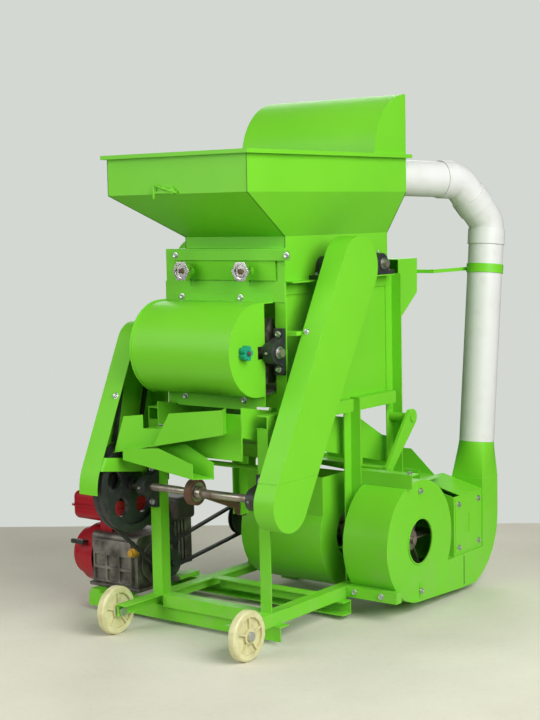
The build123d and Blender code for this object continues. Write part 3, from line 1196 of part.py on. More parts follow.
def hanger_pair(low, high, arm_x):
    """Two arms on one cross rod."""
    arm = slab(wrap(low, HANGER_LOW_R, high, HANGER_BOSS_R), arm_x)
    arm -= disc(high, HANGER_PIN_R + RUN, (0, arm_x[1] + OVER))
    reach = arm_x[1] + IRON
    return arm + flipped(arm) + disc(low, HANGER_ROD_R, (-reach, reach))


# Hangers and their pins
parts["rear_hangers"] = hanger_pair(HANGER_REAR, REAR_PIVOT, REAR_ARM_X)
parts["front_hangers"] = hanger_pair(HANGER_FRONT, FRONT_PIVOT, FRONT_ARM_X)
rear_pin = disc(REAR_PIVOT, HANGER_PIN_R, (INNER + IRON, REAR_ARM_X[1] + CLEAR + IRON))
rear_pin += disc(REAR_PIVOT, AXLE_HEAD_R, (REAR_ARM_X[1] + CLEAR, REAR_ARM_X[1] + CLEAR + IRON))
rear_pin += disc(REAR_PIVOT, AXLE_HEAD_R, (INNER + IRON, REAR_ARM_X[0] - CLEAR)) & block(
    (INNER, FRAME_HALF + FLANGE), (REAR_FRONT, REAR_Y - IRON), about(REAR_PIVOT[1], FLANGE)
)
front_pin = disc(FRONT_PIVOT, HANGER_PIN_R, (FRONT_ARM_X[0] - CLEAR - IRON, INNER))
front_pin += disc(FRONT_PIVOT, AXLE_HEAD_R, (FRONT_ARM_X[0] - CLEAR - IRON, FRONT_ARM_X[0] - CLEAR))
pin_plate_z = (FRONT_PIVOT[1] - HANGER_BOSS_R, TOP_RAIL - IRON)
front_pin += block((INNER, INNER + IRON), about(FRONT_PIVOT[0], 2 * HANGER_BOSS_R), pin_plate_z)
parts["hanger_pins"] = group(*both_sides(rear_pin, front_pin))

# Engine
engine = block(ENGINE_X, ENGINE_Y, (BED_TOP, ENGINE_TOP))
engine = fillet(engine.edges().filter_by(Axis.X), ENGINE_EDGE)
engine -= disc(CRANK, CRANK_R + RUN, (ENGINE_X[1] - CRANK_DEEP, ENGINE_X[1] + OVER))
parts["engine_block"] = engine
fin_room = CYLINDER_REAR - HEAD_LONG - ENGINE_Y[1]
barrel = (
    (CYLINDER_X[0] + FIN_DEEP, CYLINDER_X[1] - FIN_DEEP),
    (ENGINE_Y[1], CYLINDER_REAR),
    (CYLINDER_Z[0] + FIN_DEEP, CYLINDER_Z[1] - FIN_DEEP),
)
cylinder = block(*barrel)
fin_pitch = fin_room / FIN_COUNT
for index in range(FIN_COUNT):
    fin_start = ENGINE_Y[1] + index * fin_pitch + FIN_GAP
    cylinder += block(CYLINDER_X, (fin_start, fin_start + fin_pitch - FIN_GAP), CYLINDER_Z)
cylinder += block(CYLINDER_X, (CYLINDER_REAR - HEAD_LONG, CYLINDER_REAR), CYLINDER_Z)
parts["engine_cylinder"] = cylinder
recoil = disc(CRANK, RECOIL_R, (RECOIL_X[0] + RECOIL_STEP, RECOIL_X[1]))
recoil += disc(CRANK, RECOIL_STEP_R, (RECOIL_X[0], RECOIL_X[1]))
recoil -= disc(CRANK, RECOIL_STEP_R - SHEET, (RECOIL_X[0] + SHEET, RECOIL_X[1]))
recoil -= disc(CRANK, RECOIL_R - SHEET, (RECOIL_X[0] + RECOIL_STEP + SHEET, RECOIL_X[1]))
parts["recoil_cover"] = recoil
tank = fillet(block(TANK_X, TANK_Y, TANK_Z).edges(), TANK_EDGE)
tank_room = [(low + SHEET, high - SHEET) for low, high in (TANK_X, TANK_Y, TANK_Z)]
tank_inside = fillet(block(*tank_room).edges(), TANK_EDGE - SHEET)
seam_mid = sum(TANK_Z) / 2
seam = block(
    (TANK_X[0] - TANK_SEAM, TANK_X[1] + TANK_SEAM),
    (TANK_Y[0] - TANK_SEAM, TANK_Y[1] + TANK_SEAM),
    about(seam_mid, TANK_SEAM_HIGH),
)
tank += fillet(seam.edges().filter_by(Axis.Z), TANK_EDGE)
cap_at = (sum(TANK_X) / 2, sum(TANK_Y) / 2, TANK_Z[1] - OVER)
standing_on = (Align.CENTER, Align.CENTER, Align.MIN)
tank += Pos(*cap_at) * Cylinder(TANK_CAP_R, TANK_CAP + OVER, align=standing_on)
for x in (ENGINE_X[0] + TANK_LEG, TANK_X[1] - 2 * TANK_LEG):
    for y in (TANK_Y[0] + TANK_LEG, ENGINE_Y[1] - TANK_LEG):
        tank += block(about(x, TANK_LEG), about(y, TANK_LEG), (ENGINE_TOP, TANK_Z[0] + OVER))
vent = Pos(*cap_at) * Cylinder(TANK_VENT_R, 4 * TANK_CAP)
parts["fuel_tank"] = tank - tank_inside - vent
muffler = fillet(block(MUFFLER_X, MUFFLER_Y, MUFFLER_Z).edges(), ENGINE_EDGE)
muffler += block(
    about(sum(MUFFLER_X) / 2, TANK_LEG),
    about(CYLINDER_REAR - HEAD_LONG / 2 - TANK_LEG / 2, TANK_LEG),
    (CYLINDER_Z[1], MUFFLER_Z[0] + ENGINE_EDGE),
)
parts["muffler"] = muffler
crank_end = BIG_X + PULLEY_WIDE
engine_pulley = disc(CRANK, CRANK_R, (ENGINE_X[1] - CRANK_DEEP + CLEAR, crank_end))
engine_pulley += disc(CRANK, ENGINE_PULLEY_R, (FAN_BELT_X - PULLEY_WIDE / 2, BIG_X + PULLEY_WIDE / 2))
for x in (BIG_X, FAN_BELT_X):
    engine_pulley -= groove(x, CRANK, ENGINE_PULLEY_R)
parts["engine_pulley"] = engine_pulley

# Belts
parts["drive_belts"] = group(
    belt(BIG_X, CRANK, ENGINE_PULLEY_R, COUNTER_AXIS, BIG_R),
    belt(FAN_BELT_X, CRANK, ENGINE_PULLEY_R, FAN_AXIS, FAN_PULLEY_R),
    belt(RIGHT_BELT_X, COUNTER_AXIS, RIGHT_LOW_R, UPPER_AXIS, RIGHT_HIGH_R),
    belt(LEFT_BELT_X, COUNTER_AXIS, LEFT_LOW_R, FRONT_AXIS, LEFT_HIGH_R),
    belt(REAR_BELT_X, UPPER_AXIS, REAR_PAIR_R, REAR_AXIS, REAR_PAIR_R),
)

# Bolts on the front plate strip and the cover flange
strip_face = UPPER_Y - SHEET - STRIP_DEEP
flange_face = UPPER_Y - 2 * SHEET
flange_z = COVER_Z + COVER_R + COVER_FLANGE / 2
for x in (STRIP_X[0] + STRIP_BOLT, STRIP_X[1] - STRIP_BOLT):
    bolts.append(front_bolt(x, strip_face, sum(STRIP_Z) / 2))
foot_face = COVER_END - SHEET
foot_z = cover_low - COVER_FOOT / 2
for x in STUD_X:
    bolts.append(front_bolt(x - FLANGE, flange_face, flange_z))
    bolts.append(front_bolt(x, foot_face, foot_z))
parts["bolts"] = group(*bolts)

# The origin is the middle of the outline, on the floor
whole = Compound([one for shape in parts.values() for one in shape.solids()]).bounding_box()
DATUM = Pos(-whole.center().X, -whole.center().Y, 0)
os.makedirs("parts", exist_ok=True)
for node, shape in parts.items():
    export_step(DATUM * shape, f"parts/{node}.step")
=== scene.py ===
"""Peanut sheller: finishes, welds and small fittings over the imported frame."""

from __future__ import annotations

import json
import logging
import math
from dataclasses import dataclass, field
from enum import Enum
from typing import Any, Callable, Iterable, Union

import bpy
from mathutils import Matrix, Vector

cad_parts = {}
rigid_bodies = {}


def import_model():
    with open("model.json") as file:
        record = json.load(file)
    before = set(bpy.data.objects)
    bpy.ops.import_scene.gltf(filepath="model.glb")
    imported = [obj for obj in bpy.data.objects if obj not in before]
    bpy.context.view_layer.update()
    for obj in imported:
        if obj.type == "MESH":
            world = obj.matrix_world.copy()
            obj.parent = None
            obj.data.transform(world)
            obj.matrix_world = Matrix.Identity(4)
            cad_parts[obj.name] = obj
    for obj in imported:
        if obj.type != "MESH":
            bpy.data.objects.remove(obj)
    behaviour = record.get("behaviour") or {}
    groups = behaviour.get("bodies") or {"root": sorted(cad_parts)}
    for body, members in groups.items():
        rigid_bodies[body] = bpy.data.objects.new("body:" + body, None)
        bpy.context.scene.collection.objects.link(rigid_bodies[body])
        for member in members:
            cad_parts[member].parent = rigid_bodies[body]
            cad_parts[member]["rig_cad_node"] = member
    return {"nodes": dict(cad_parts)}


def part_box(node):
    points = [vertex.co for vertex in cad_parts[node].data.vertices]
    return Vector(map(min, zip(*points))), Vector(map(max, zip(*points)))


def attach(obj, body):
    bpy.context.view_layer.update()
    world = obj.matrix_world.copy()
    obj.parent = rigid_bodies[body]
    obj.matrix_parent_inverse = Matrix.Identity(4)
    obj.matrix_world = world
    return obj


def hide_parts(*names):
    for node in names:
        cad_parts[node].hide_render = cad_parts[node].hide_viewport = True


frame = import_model()
log = logging.getLogger("sheller")

Colour = tuple[float, float, float, float]
Piece = bpy.types.Object
Face = bpy.types.MeshPolygon
Point = tuple[float, float, float]
Corners = tuple[Point, Point]
# Each takes a face's centre, and the first its normal too, and says whether the face is wanted.
Test = Callable[[Vector, Vector], bool]
Where = Callable[[Vector], bool]
# Width of an inset, and how far the inset face moves out.
Step = tuple[float, float]

# Cosine above which a face counts as looking one way.
FACING = 0.9
HEXAGON = 6
SMOOTH_ANGLE = math.radians(35)
# Length along the seam, width and height of a weld's drop, as shares of the bead's half width.
DROP_SHAPE = (0.8, 1.0, 0.6)
MADE: dict[str, bpy.types.Material] = {}


class Way(Enum):
    """Direction on the machine."""

    RIGHT = (1.0, 0.0, 0.0)
    LEFT = (-1.0, 0.0, 0.0)
    FRONT = (0.0, -1.0, 0.0)
    REAR = (0.0, 1.0, 0.0)
    UP = (0.0, 0.0, 1.0)

    def by(self, length: float) -> Vector:
        """Move of some length this way."""
        return Vector(self.value) * length

    def faces(self, cosine: float = FACING) -> Test:
        """Test for the faces that look this way."""
        way = Vector(self.value)
        return lambda _, normal: normal.dot(way) > cosine


def rounded(point: Iterable[float]) -> tuple[float, ...]:
    """Point to a hundredth of a millimetre, to compare places by."""
    return tuple(round(value, 5) for value in point)


def chip(red: int, green: int, blue: int) -> Colour:
    """Linear colour of a paint chip read in display values.

    Args:
        red: Display red, 0 to 255.
        green: Display green, 0 to 255.
        blue: Display blue, 0 to 255.

    Returns:
        The colour with full alpha.
    """
    linear = []
    for value in (red, green, blue):
        share = value / 255
        linear.append(share / 12.92 if share <= 0.04045 else ((share + 0.055) / 1.055) ** 2.4)
    return (linear[0], linear[1], linear[2], 1.0)


class Wire:
    """A node's output socket that takes part in sums like a number."""

    def __init__(self, graph: Graph, socket: bpy.types.NodeSocket) -> None:
        """Keeps the graph and the socket."""
        self.graph = graph
        self.socket = socket

    def _sum(self, operation: str, first: Operand, second: Operand) -> Wire:
        """Adds one Math node."""
        return self.graph.node("ShaderNodeMath", {"operation": operation}, {0: first, 1: second})

    def __add__(self, other: Operand) -> Wire:
        """This value plus another."""
        return self._sum("ADD", self, other)

    def __sub__(self, other: Operand) -> Wire:
        """This value less another."""
        return self._sum("SUBTRACT", self, other)

    def __rsub__(self, other: Operand) -> Wire:
        """Another value less this one."""
        return self._sum("SUBTRACT", other, self)

    def __mul__(self, other: Operand) -> Wire:
        """This value times another."""
        return self._sum("MULTIPLY", self, other)

    def held(self) -> Wire:
        """This value kept between 0 and 1."""
        return self.graph.node("ShaderNodeClamp", inputs={0: self})

    def band(self, low: float, high: float) -> Wire:
        """This value stretched so that low gives 0 and high gives 1, and kept between them."""
        return ((self - low) * (1 / (high - low))).held()


Operand = Union[Wire, float]


class Graph:
    """The node tree of one material, with its shader."""

    def __init__(self, name: str) -> None:
        """Makes a material with one Principled shader.

        Args:
            name: Name of the material.
        """
        self.material = bpy.data.materials.new(name)
        self.material.use_nodes = True
        self.tree = self.material.node_tree
        self.tree.nodes.clear()
        self.shader = self.tree.nodes.new("ShaderNodeBsdfPrincipled")
        output = self.tree.nodes.new("ShaderNodeOutputMaterial")
        self.tree.links.new(self.shader.outputs["BSDF"], output.inputs["Surface"])

    def node(
        self,
        kind: str,
        settings: dict[str, Any] | None = None,
        inputs: dict[Any, Any] | None = None,
        out: int | str = 0,
    ) -> Wire:
        """Adds any node.

        Args:
            kind: Blender's node type.
            settings: Node settings, set before the sockets are filled.
            inputs: Values or wires by socket name or number.
            out: Output socket to hand back.

        Returns:
            The chosen output as a wire.
        """
        made = self.tree.nodes.new(kind)
        for key, value in (settings or {}).items():
            setattr(made, key, value)
        for key, value in (inputs or {}).items():
            self._fill(made.inputs[key], value)
        return Wire(self, made.outputs[out])

    def _fill(self, socket: bpy.types.NodeSocket, value: Any) -> None:
        """Links a wire to a socket or sets its value."""
        if isinstance(value, Wire):
            self.tree.links.new(value.socket, socket)
        else:
            socket.default_value = value

    def surface(self, **sockets: Any) -> None:
        """Fills the shader's sockets, given with underscores for spaces."""
        for name, value in sockets.items():
            self._fill(self.shader.inputs[name.replace("_", " ")], value)

    def place(self, stretch: Point = (1.0, 1.0, 1.0)) -> Wire:
        """Object coordinates in metres, scaled along each axis."""
        coordinates = self.node("ShaderNodeTexCoord", out="Object")
        return self.node("ShaderNodeMapping", inputs={"Vector": coordinates, "Scale": stretch})

    def noise(self, grain: float, detail: float, stretch: Point = (1.0, 1.0, 1.0)) -> Wire:
        """Cloud pattern round one half, with the size of a cloud in metres and its finer layers."""
        where = self.place(stretch)
        return self.node("ShaderNodeTexNoise", inputs={"Vector": where, "Scale": 1 / grain, "Detail": detail})

    def height(self) -> Wire:
        """Height above the floor in metres."""
        return self.node("ShaderNodeSeparateXYZ", inputs={0: self.place()}, out="Z")

    def mix(self, share: Operand, first: Any, second: Any) -> Wire:
        """Blend of two colours: share 0 gives the first and 1 the second."""
        return self.node("ShaderNodeMix", {"data_type": "RGBA"}, {0: share, 6: first, 7: second}, out=2)

    def edge(self, radius: float, gain: float = 6.0) -> tuple[Wire, Wire]:
        """Softened normals of sharp edges.

        Args:
            radius: Width of the softened edge in metres.
            gain: How fast the edge's value rises as the normals part.

        Returns:
            The softened normal, and a value that rises to 1 on edges.
        """
        soft = self.node("ShaderNodeBevel", {"samples": 4}, {"Radius": radius})
        plain = self.node("ShaderNodeNewGeometry", out="Normal")
        both = {0: soft, 1: plain}
        facing = self.node("ShaderNodeVectorMath", {"operation": "DOT_PRODUCT"}, both, out="Value")
        return soft, ((1.0 - facing) * gain).held()

    def bump(self, height: Wire, depth: float, normal: Wire | None = None) -> Wire:
        """Relief of the surface.

        Args:
            height: Pattern from 0 to 1.
            depth: Depth of the relief in metres.
            normal: Normal to start from.

        Returns:
            The new normal.
        """
        inputs: dict[str, Any] = {"Height": height, "Distance": depth, "Strength": 1.0}
        if normal is not None:
            inputs["Normal"] = normal
        return self.node("ShaderNodeBump", inputs=inputs)


@dataclass(frozen=True)
class Finish:
    """A surface finish and the record slot that it stands for."""

    name: str
    slot: str
    colour: Colour

    def material(self) -> bpy.types.Material:
        """The finish as a material, made on first use.

        Returns:
            The material.
        """
        if self.name not in MADE:
            graph = Graph(self.name)
            self.dress(graph)
            MADE[self.name] = graph.material
        return MADE[self.name]

    def dress(self, graph: Graph) -> None:
        """Wires the finish's nodes in a new material."""
        raise NotImplementedError

    def put_on(self, piece: Piece) -> None:
        """Gives a piece this finish.

        Args:
            piece: Mesh to dress.
        """
        piece.data.materials.clear()
        piece.data.materials.append(self.material())


@dataclass(frozen=True)
class SprayPaint(Finish):
    """Gloss paint sprayed on welded sheet and angle iron."""

    deep: Colour
    dust: Colour
    # Paler colour painted on the edges as a highlight.
    edge_highlight: Colour
    roughness: float = 0.42

    def dress(self, graph: Graph) -> None:
        """Tone drift, spray dimples, soft dents, a painted highlight along the edges and floor dust.

        Args:
            graph: Material to fill.
        """
        soft, edge = graph.edge(radius=0.0012)
        drift = graph.noise(grain=0.35, detail=2.0)
        smear = graph.noise(grain=0.05, detail=6.0)
        speck = graph.noise(grain=0.006, detail=2.0)
        tone = graph.mix(drift.band(0.3, 0.75) * 0.5, self.colour, self.deep)
        low = 1.0 - graph.height().band(0.0, 0.35)
        dusty = low * smear.band(0.45, 0.75) * 0.3 + speck.band(0.70, 0.78) * 0.12
        tone = graph.mix(dusty.held(), tone, self.dust)
        # Painted highlight: edges lightened towards the paler colour, in patches broken up by noise.
        highlit_edges = edge * smear.band(0.42, 0.66) * 0.55
        tone = graph.mix(highlit_edges, tone, self.edge_highlight)
        dents = graph.bump(graph.noise(grain=0.16, detail=1.0), depth=0.0022, normal=soft)
        peel = graph.bump(graph.noise(grain=0.0045, detail=2.0), depth=0.00005, normal=dents)
        graph.surface(
            Base_Color=tone,
            Roughness=smear * 0.16 + (self.roughness - 0.06) + dusty * 0.3,
            Normal=peel,
            Specular_IOR_Level=0.3,
            Coat_Roughness=0.16,
            Coat_Weight=0.05,
        )


@dataclass(frozen=True)
class CastIron(Finish):
    """Sand-cast iron, coated or bare."""

    rust: Colour
    rust_share: float
    gloss: float

    def dress(self, graph: Graph) -> None:
        """Sand grit, rubbed edges and patches of rust or dust.

        Args:
            graph: Material to fill.
        """
        soft, edge = graph.edge(radius=0.002)
        grit = graph.noise(grain=0.003, detail=4.0)
        patch = graph.noise(grain=0.035, detail=6.0)
        worn = patch.band(0.62 - self.rust_share * 0.3, 0.78) * (0.3 + self.rust_share * 0.6)
        tone = graph.mix((worn + edge * 0.25).held(), self.colour, self.rust)
        graph.surface(
            Base_Color=tone,
            Roughness=grit * 0.25 + (self.gloss - 0.1) + worn * 0.2,
            Normal=graph.bump(grit, depth=0.0005, normal=soft),
            Specular_IOR_Level=0.45,
        )


@dataclass(frozen=True)
class TurnedSteel(Finish):
    """Bare turned bar with light rust."""

    rust: Colour
    run: Way = Way.RIGHT

    def along(self, across: float) -> Point:
        """Scale of a pattern along the bar, with another scale across it."""
        return tuple(1.0 if share else across for share in self.run.value)

    def dress(self, graph: Graph) -> None:
        """Turning rings along the bar under blotches of rust.

        Args:
            graph: Material to fill.
        """
        rings = graph.noise(grain=0.0018, detail=2.0, stretch=self.along(across=0.02))
        blotch = graph.noise(grain=0.045, detail=7.0)
        streak = graph.noise(grain=0.02, detail=4.0, stretch=self.along(across=0.3))
        rusty = (blotch.band(0.44, 0.66) * 0.7 + streak.band(0.55, 0.75) * 0.4).held()
        graph.surface(
            Base_Color=graph.mix(rusty, self.colour, self.rust),
            Metallic=1.0 - rusty * 0.75,
            Roughness=rings * 0.18 + rusty * 0.3 + 0.24,
            Normal=graph.bump(rings, depth=0.0002),
        )


@dataclass(frozen=True)
class Plating(Finish):
    """Zinc or bright plating on small fittings."""

    stain: Colour
    roughness: float
    stain_share: float

    def dress(self, graph: Graph) -> None:
        """Plating with dull spots and worn stains.

        Args:
            graph: Material to fill.
        """
        soft, _ = graph.edge(radius=0.0012)
        cloud = graph.noise(grain=0.008, detail=5.0)
        spot = cloud.band(0.66 - self.stain_share * 0.3, 0.8) * self.stain_share
        graph.surface(
            Base_Color=graph.mix(spot, self.colour, self.stain),
            Metallic=1.0 - spot * 0.6,
            Roughness=cloud * 0.2 + (self.roughness - 0.08) + spot * 0.3,
            Normal=soft,
        )


@dataclass(frozen=True)
class Moulding(Finish):
    """Moulded or drawn plastic."""

    tint: Colour
    soil: Colour
    roughness: float
    soil_share: float
    grain: float = 0.03

    def dress(self, graph: Graph) -> None:
        """Faint tint clouds, soil in patches and a fine mould grain.

        Args:
            graph: Material to fill.
        """
        soft, edge = graph.edge(radius=0.0015)
        cloud = graph.noise(grain=self.grain, detail=4.0)
        skin = graph.noise(grain=0.0025, detail=2.0)
        soiled = graph.noise(grain=0.05, detail=7.0).band(0.52, 0.8) * self.soil_share
        soiled = (soiled + edge * self.soil_share * 0.4).held()
        tone = graph.mix(cloud.band(0.35, 0.7), self.colour, self.tint)
        graph.surface(
            Base_Color=graph.mix(soiled, tone, self.soil),
            Roughness=skin * 0.1 + (self.roughness - 0.05) + soiled * 0.3,
            Normal=graph.bump(skin, depth=0.00006, normal=soft),
            Specular_IOR_Level=0.5,
        )


@dataclass(frozen=True)
class DieCast(Finish):
    """Rough die-cast aluminium with patches of oil."""

    oil: Colour

    def dress(self, graph: Graph) -> None:
        """Casting grain, dull sheen and oily patches.

        Args:
            graph: Material to fill.
        """
        soft, edge = graph.edge(radius=0.0025)
        grain = graph.noise(grain=0.0035, detail=4.0)
        oily = graph.noise(grain=0.06, detail=6.0).band(0.36, 0.62) * 0.85
        tone = graph.mix((oily - edge * 0.6).held(), self.colour, self.oil)
        graph.surface(
            Base_Color=tone,
            Metallic=0.75 - oily * 0.5,
            Roughness=grain * 0.25 + 0.38 - oily * 0.12,
            Normal=graph.bump(grain, depth=0.0007, normal=soft),
        )


@dataclass(frozen=True)
class BeltRubber(Finish):
    """Black belt rubber with a worn cloth wrap."""

    wear: Colour

    def dress(self, graph: Graph) -> None:
        """Cloth weave, dusty wear and rubbed edges.

        Args:
            graph: Material to fill.
        """
        soft, edge = graph.edge(radius=0.001)
        weave = graph.noise(grain=0.0016, detail=2.0)
        dusty = graph.noise(grain=0.04, detail=5.0).band(0.5, 0.8) * 0.5
        graph.surface(
            Base_Color=graph.mix((dusty + edge * 0.35).held(), self.colour, self.wear),
            Roughness=weave * 0.2 + 0.6,
            Normal=graph.bump(weave, depth=0.0003, normal=soft),
        )


# Each paint's paler edge colour below is a painted highlight on its edges.
GREEN = SprayPaint(
    "lime_paint", "green_paint", chip(119, 208, 44),
    deep=chip(102, 194, 36), dust=chip(168, 178, 128), edge_highlight=chip(186, 235, 130),
)
# Dark green for the beads along the hopper's corners: painted shadow of the gaps between sheets.
GAP_SHADE = SprayPaint(
    "painted_gap_shade", "green_paint", chip(58, 120, 24), roughness=0.45,
    deep=chip(44, 96, 18), dust=chip(120, 130, 90), edge_highlight=chip(110, 170, 70),
)
RED = SprayPaint(
    "red_paint", "engine_red", chip(176, 22, 38), roughness=0.3,
    deep=chip(140, 14, 26), dust=chip(120, 92, 82), edge_highlight=chip(205, 92, 84),
)
BLACK_IRON = CastIron(
    "coated_iron", "black_iron", chip(42, 46, 46),
    rust=chip(98, 96, 84), rust_share=0.25, gloss=0.42,
)
BROWN_IRON = CastIron(
    "rusty_iron", "brown_iron", chip(92, 66, 52),
    rust=chip(128, 84, 54), rust_share=0.7, gloss=0.55,
)
SOOT_STEEL = CastIron(
    "soot_steel", "black_iron", chip(58, 54, 50),
    rust=chip(104, 82, 64), rust_share=0.4, gloss=0.5,
)
BARE_STEEL = TurnedSteel("turned_steel", "bare_steel", chip(176, 168, 158), rust=chip(96, 72, 58))
ZINC = Plating(
    "zinc_plate", "zinc", chip(204, 206, 206),
    stain=chip(120, 108, 92), roughness=0.32, stain_share=0.35,
)
CHROME = Plating(
    "bright_plate", "chrome", chip(222, 220, 216),
    stain=chip(120, 84, 58), roughness=0.14, stain_share=0.3,
)
WHITE_PIPE = Moulding(
    "drawn_pipe", "white_pipe", chip(224, 226, 223), roughness=0.4, soil_share=0.2, grain=0.2,
    tint=chip(218, 220, 215), soil=chip(184, 180, 166),
)
CREAM = Moulding(
    "cream_nylon", "wheel_nylon", chip(220, 217, 168), roughness=0.42, soil_share=0.55,
    tint=chip(206, 201, 148), soil=chip(136, 128, 92),
)
TEAL = Moulding(
    "teal_knob", "teal_plastic", chip(12, 140, 112), roughness=0.3, soil_share=0.3, grain=0.006,
    tint=chip(24, 164, 130), soil=chip(150, 190, 170),
)
BLACK_PLASTIC = Moulding(
    "black_plastic", "black_iron", chip(34, 35, 36), roughness=0.42, soil_share=0.3, grain=0.01,
    tint=chip(44, 45, 46), soil=chip(110, 104, 92),
)
BRASS = Moulding(
    "yellow_cap", "engine_grey", chip(206, 158, 40), roughness=0.4, soil_share=0.35, grain=0.01,
    tint=chip(188, 140, 30), soil=chip(110, 84, 40),
)
DIE_CAST = DieCast("die_cast", "engine_grey", chip(142, 138, 130), oil=chip(46, 40, 34))
RUBBER = BeltRubber("wrapped_belt", "belt_rubber", chip(34, 34, 36), wear=chip(92, 90, 84))


# Hand tools: primitives, edit-mode operators and applied modifiers
def clear() -> None:
    """Deselects everything."""
    bpy.ops.object.select_all(action="DESELECT")


def pick(piece: Piece) -> None:
    """Selects one piece alone and makes it active.

    Args:
        piece: Piece to work on.
    """
    clear()
    piece.select_set(True)
    bpy.context.view_layer.objects.active = piece


def settle(name: str) -> Piece:
    """Names the new primitive and moves its place into its mesh.

    Args:
        name: Name of the piece.

    Returns:
        The piece, at the origin.
    """
    piece = bpy.context.object
    piece.name = name
    piece.data.name = name
    bpy.ops.object.transform_apply(location=True, rotation=True, scale=True)
    return piece


def box(name: str, low: Vector, high: Vector) -> Piece:
    """Box between two corners.

    Args:
        name: Name of the piece.
        low: Lowest corner.
        high: Highest corner.

    Returns:
        The piece.
    """
    clear()
    bpy.ops.mesh.primitive_cube_add(size=1, location=(low + high) / 2)
    bpy.context.object.scale = high - low
    return settle(name)


def rod(name: str, start: Vector, end: Vector, radius: float, sides: int = 32) -> Piece:
    """Round bar between two points.

    Args:
        name: Name of the piece.
        start: One end.
        end: The other end.
        radius: Radius of the bar.
        sides: Number of faces around it.

    Returns:
        The piece.
    """
    clear()
    along = end - start
    turn = along.to_track_quat("Z", "Y").to_euler()
    bpy.ops.mesh.primitive_cylinder_add(
        vertices=sides, radius=radius, depth=along.length, location=(start + end) / 2, rotation=turn
    )
    return settle(name)


def choose(piece: Piece, test: Test) -> None:
    """Opens a piece in edit mode with some of its faces selected.

    Args:
        piece: Piece to open.
        test: Test for the wanted faces.
    """
    pick(piece)
    bpy.ops.object.mode_set(mode="EDIT")
    bpy.ops.mesh.select_mode(type="FACE")
    bpy.ops.mesh.select_all(action="DESELECT")
    bpy.ops.object.mode_set(mode="OBJECT")
    for face in piece.data.polygons:
        face.select = test(face.center, face.normal)
    bpy.ops.object.mode_set(mode="EDIT")


def close() -> None:
    """Leaves edit mode."""
    bpy.ops.object.mode_set(mode="OBJECT")


def soften(piece: Piece, width: float, steps: int = 2) -> None:
    """Rounds the sharp edges of a piece.

    Args:
        piece: Piece to round.
        width: Width of the rounding.
        steps: Number of faces across it.
    """
    pick(piece)
    bevel = piece.modifiers.new("round", "BEVEL")
    bevel.width = width
    bevel.segments = steps
    bevel.limit_method = "ANGLE"
    bpy.ops.object.modifier_apply(modifier=bevel.name)
    bpy.ops.object.shade_smooth_by_angle(angle=SMOOTH_ANGLE)


def tube(name: str, start: Vector, end: Vector, outer: float, inner: float, sides: int = 40) -> Piece:
    """Hollow round bar between two points.

    Args:
        name: Name of the piece.
        start: One end.
        end: The other end.
        outer: Outer radius.
        inner: Radius of the bore.
        sides: Number of faces around it.

    Returns:
        The piece.
    """
    piece = rod(name, start, end, outer, sides)
    along = (end - start).normalized()
    choose(piece, lambda _, normal: abs(normal.dot(along)) > FACING)
    bpy.ops.mesh.inset(thickness=outer - inner, use_individual=True)
    bpy.ops.mesh.bridge_edge_loops()
    close()
    return piece


def step(piece: Piece, way: Way, size: Step, where: Where | None = None) -> None:
    """Insets each face that looks one way and moves it out or in as a step.

    Args:
        piece: Piece to work on.
        way: Way that the faces look.
        size: Width and rise of the step.
        where: Test of their places, where not all are wanted.
    """
    looks = way.faces()
    choose(piece, lambda mid, normal: looks(mid, normal) and (where is None or where(mid)))
    take_in, rise = size
    bpy.ops.mesh.inset(thickness=take_in, use_individual=True)
    bpy.ops.mesh.extrude_region_move(TRANSFORM_OT_translate={"value": way.by(rise)})
    close()


def pull(piece: Piece, test: Test, push: Point) -> None:
    """Extrudes some faces of a piece.

    Args:
        piece: Piece to work on.
        test: Test for the wanted faces.
        push: How far they move.
    """
    choose(piece, test)
    bpy.ops.mesh.extrude_region_move(TRANSFORM_OT_translate={"value": push})
    close()


def split(piece: Piece, test: Test, cuts: int = 2) -> None:
    """Divides some faces of a piece into a grid.

    Args:
        piece: Piece to work on.
        test: Test for the wanted faces.
        cuts: Number of cuts across each edge.
    """
    choose(piece, test)
    bpy.ops.mesh.subdivide(number_cuts=cuts)
    close()


def every_other(piece: Piece, test: Test) -> Where:
    """Picks every second face of those that pass a test.

    Args:
        piece: Piece to search.
        test: Test for the faces to pick from.

    Returns:
        Test for the picked faces.
    """
    passed = [rounded(face.center) for face in piece.data.polygons if test(face.center, face.normal)]
    picked = set(passed[::2])
    return lambda mid: rounded(mid) in picked


def copy(piece: Piece, name: str, place: Matrix) -> Piece:
    """Copies a piece with a mesh of its own.

    Args:
        piece: Piece to copy.
        name: Name of the copy.
        place: Turn and move from the piece to the copy.

    Returns:
        The copy, at the origin.
    """
    twin = piece.copy()
    twin.data = piece.data.copy()
    twin.name = name
    twin.data.name = name
    twin.data.transform(place)
    bpy.context.scene.collection.objects.link(twin)
    return twin


def bead(name: str, start: Vector, end: Vector, size: float) -> Piece:
    """Weld bead: a row of overlapping drops.

    Args:
        name: Name of the piece.
        start: One end of the seam.
        end: The other end.
        size: Half width of the bead.

    Returns:
        The piece.
    """
    clear()
    bpy.ops.mesh.primitive_uv_sphere_add(segments=10, ring_count=6, radius=size)
    bpy.context.object.scale = DROP_SHAPE
    drop = settle(name)
    along = end - start
    row = drop.modifiers.new("row", "ARRAY")
    row.count = max(2, int(along.length / size / DROP_SHAPE[0]))
    row.use_relative_offset = False
    row.use_constant_offset = True
    row.constant_offset_displace = (along.length / row.count, 0.0, 0.0)
    bpy.ops.object.modifier_apply(modifier=row.name)
    bpy.ops.object.shade_smooth()
    drop.data.transform(Matrix.Translation(start) @ along.to_track_quat("X", "Z").to_matrix().to_4x4())
    return drop


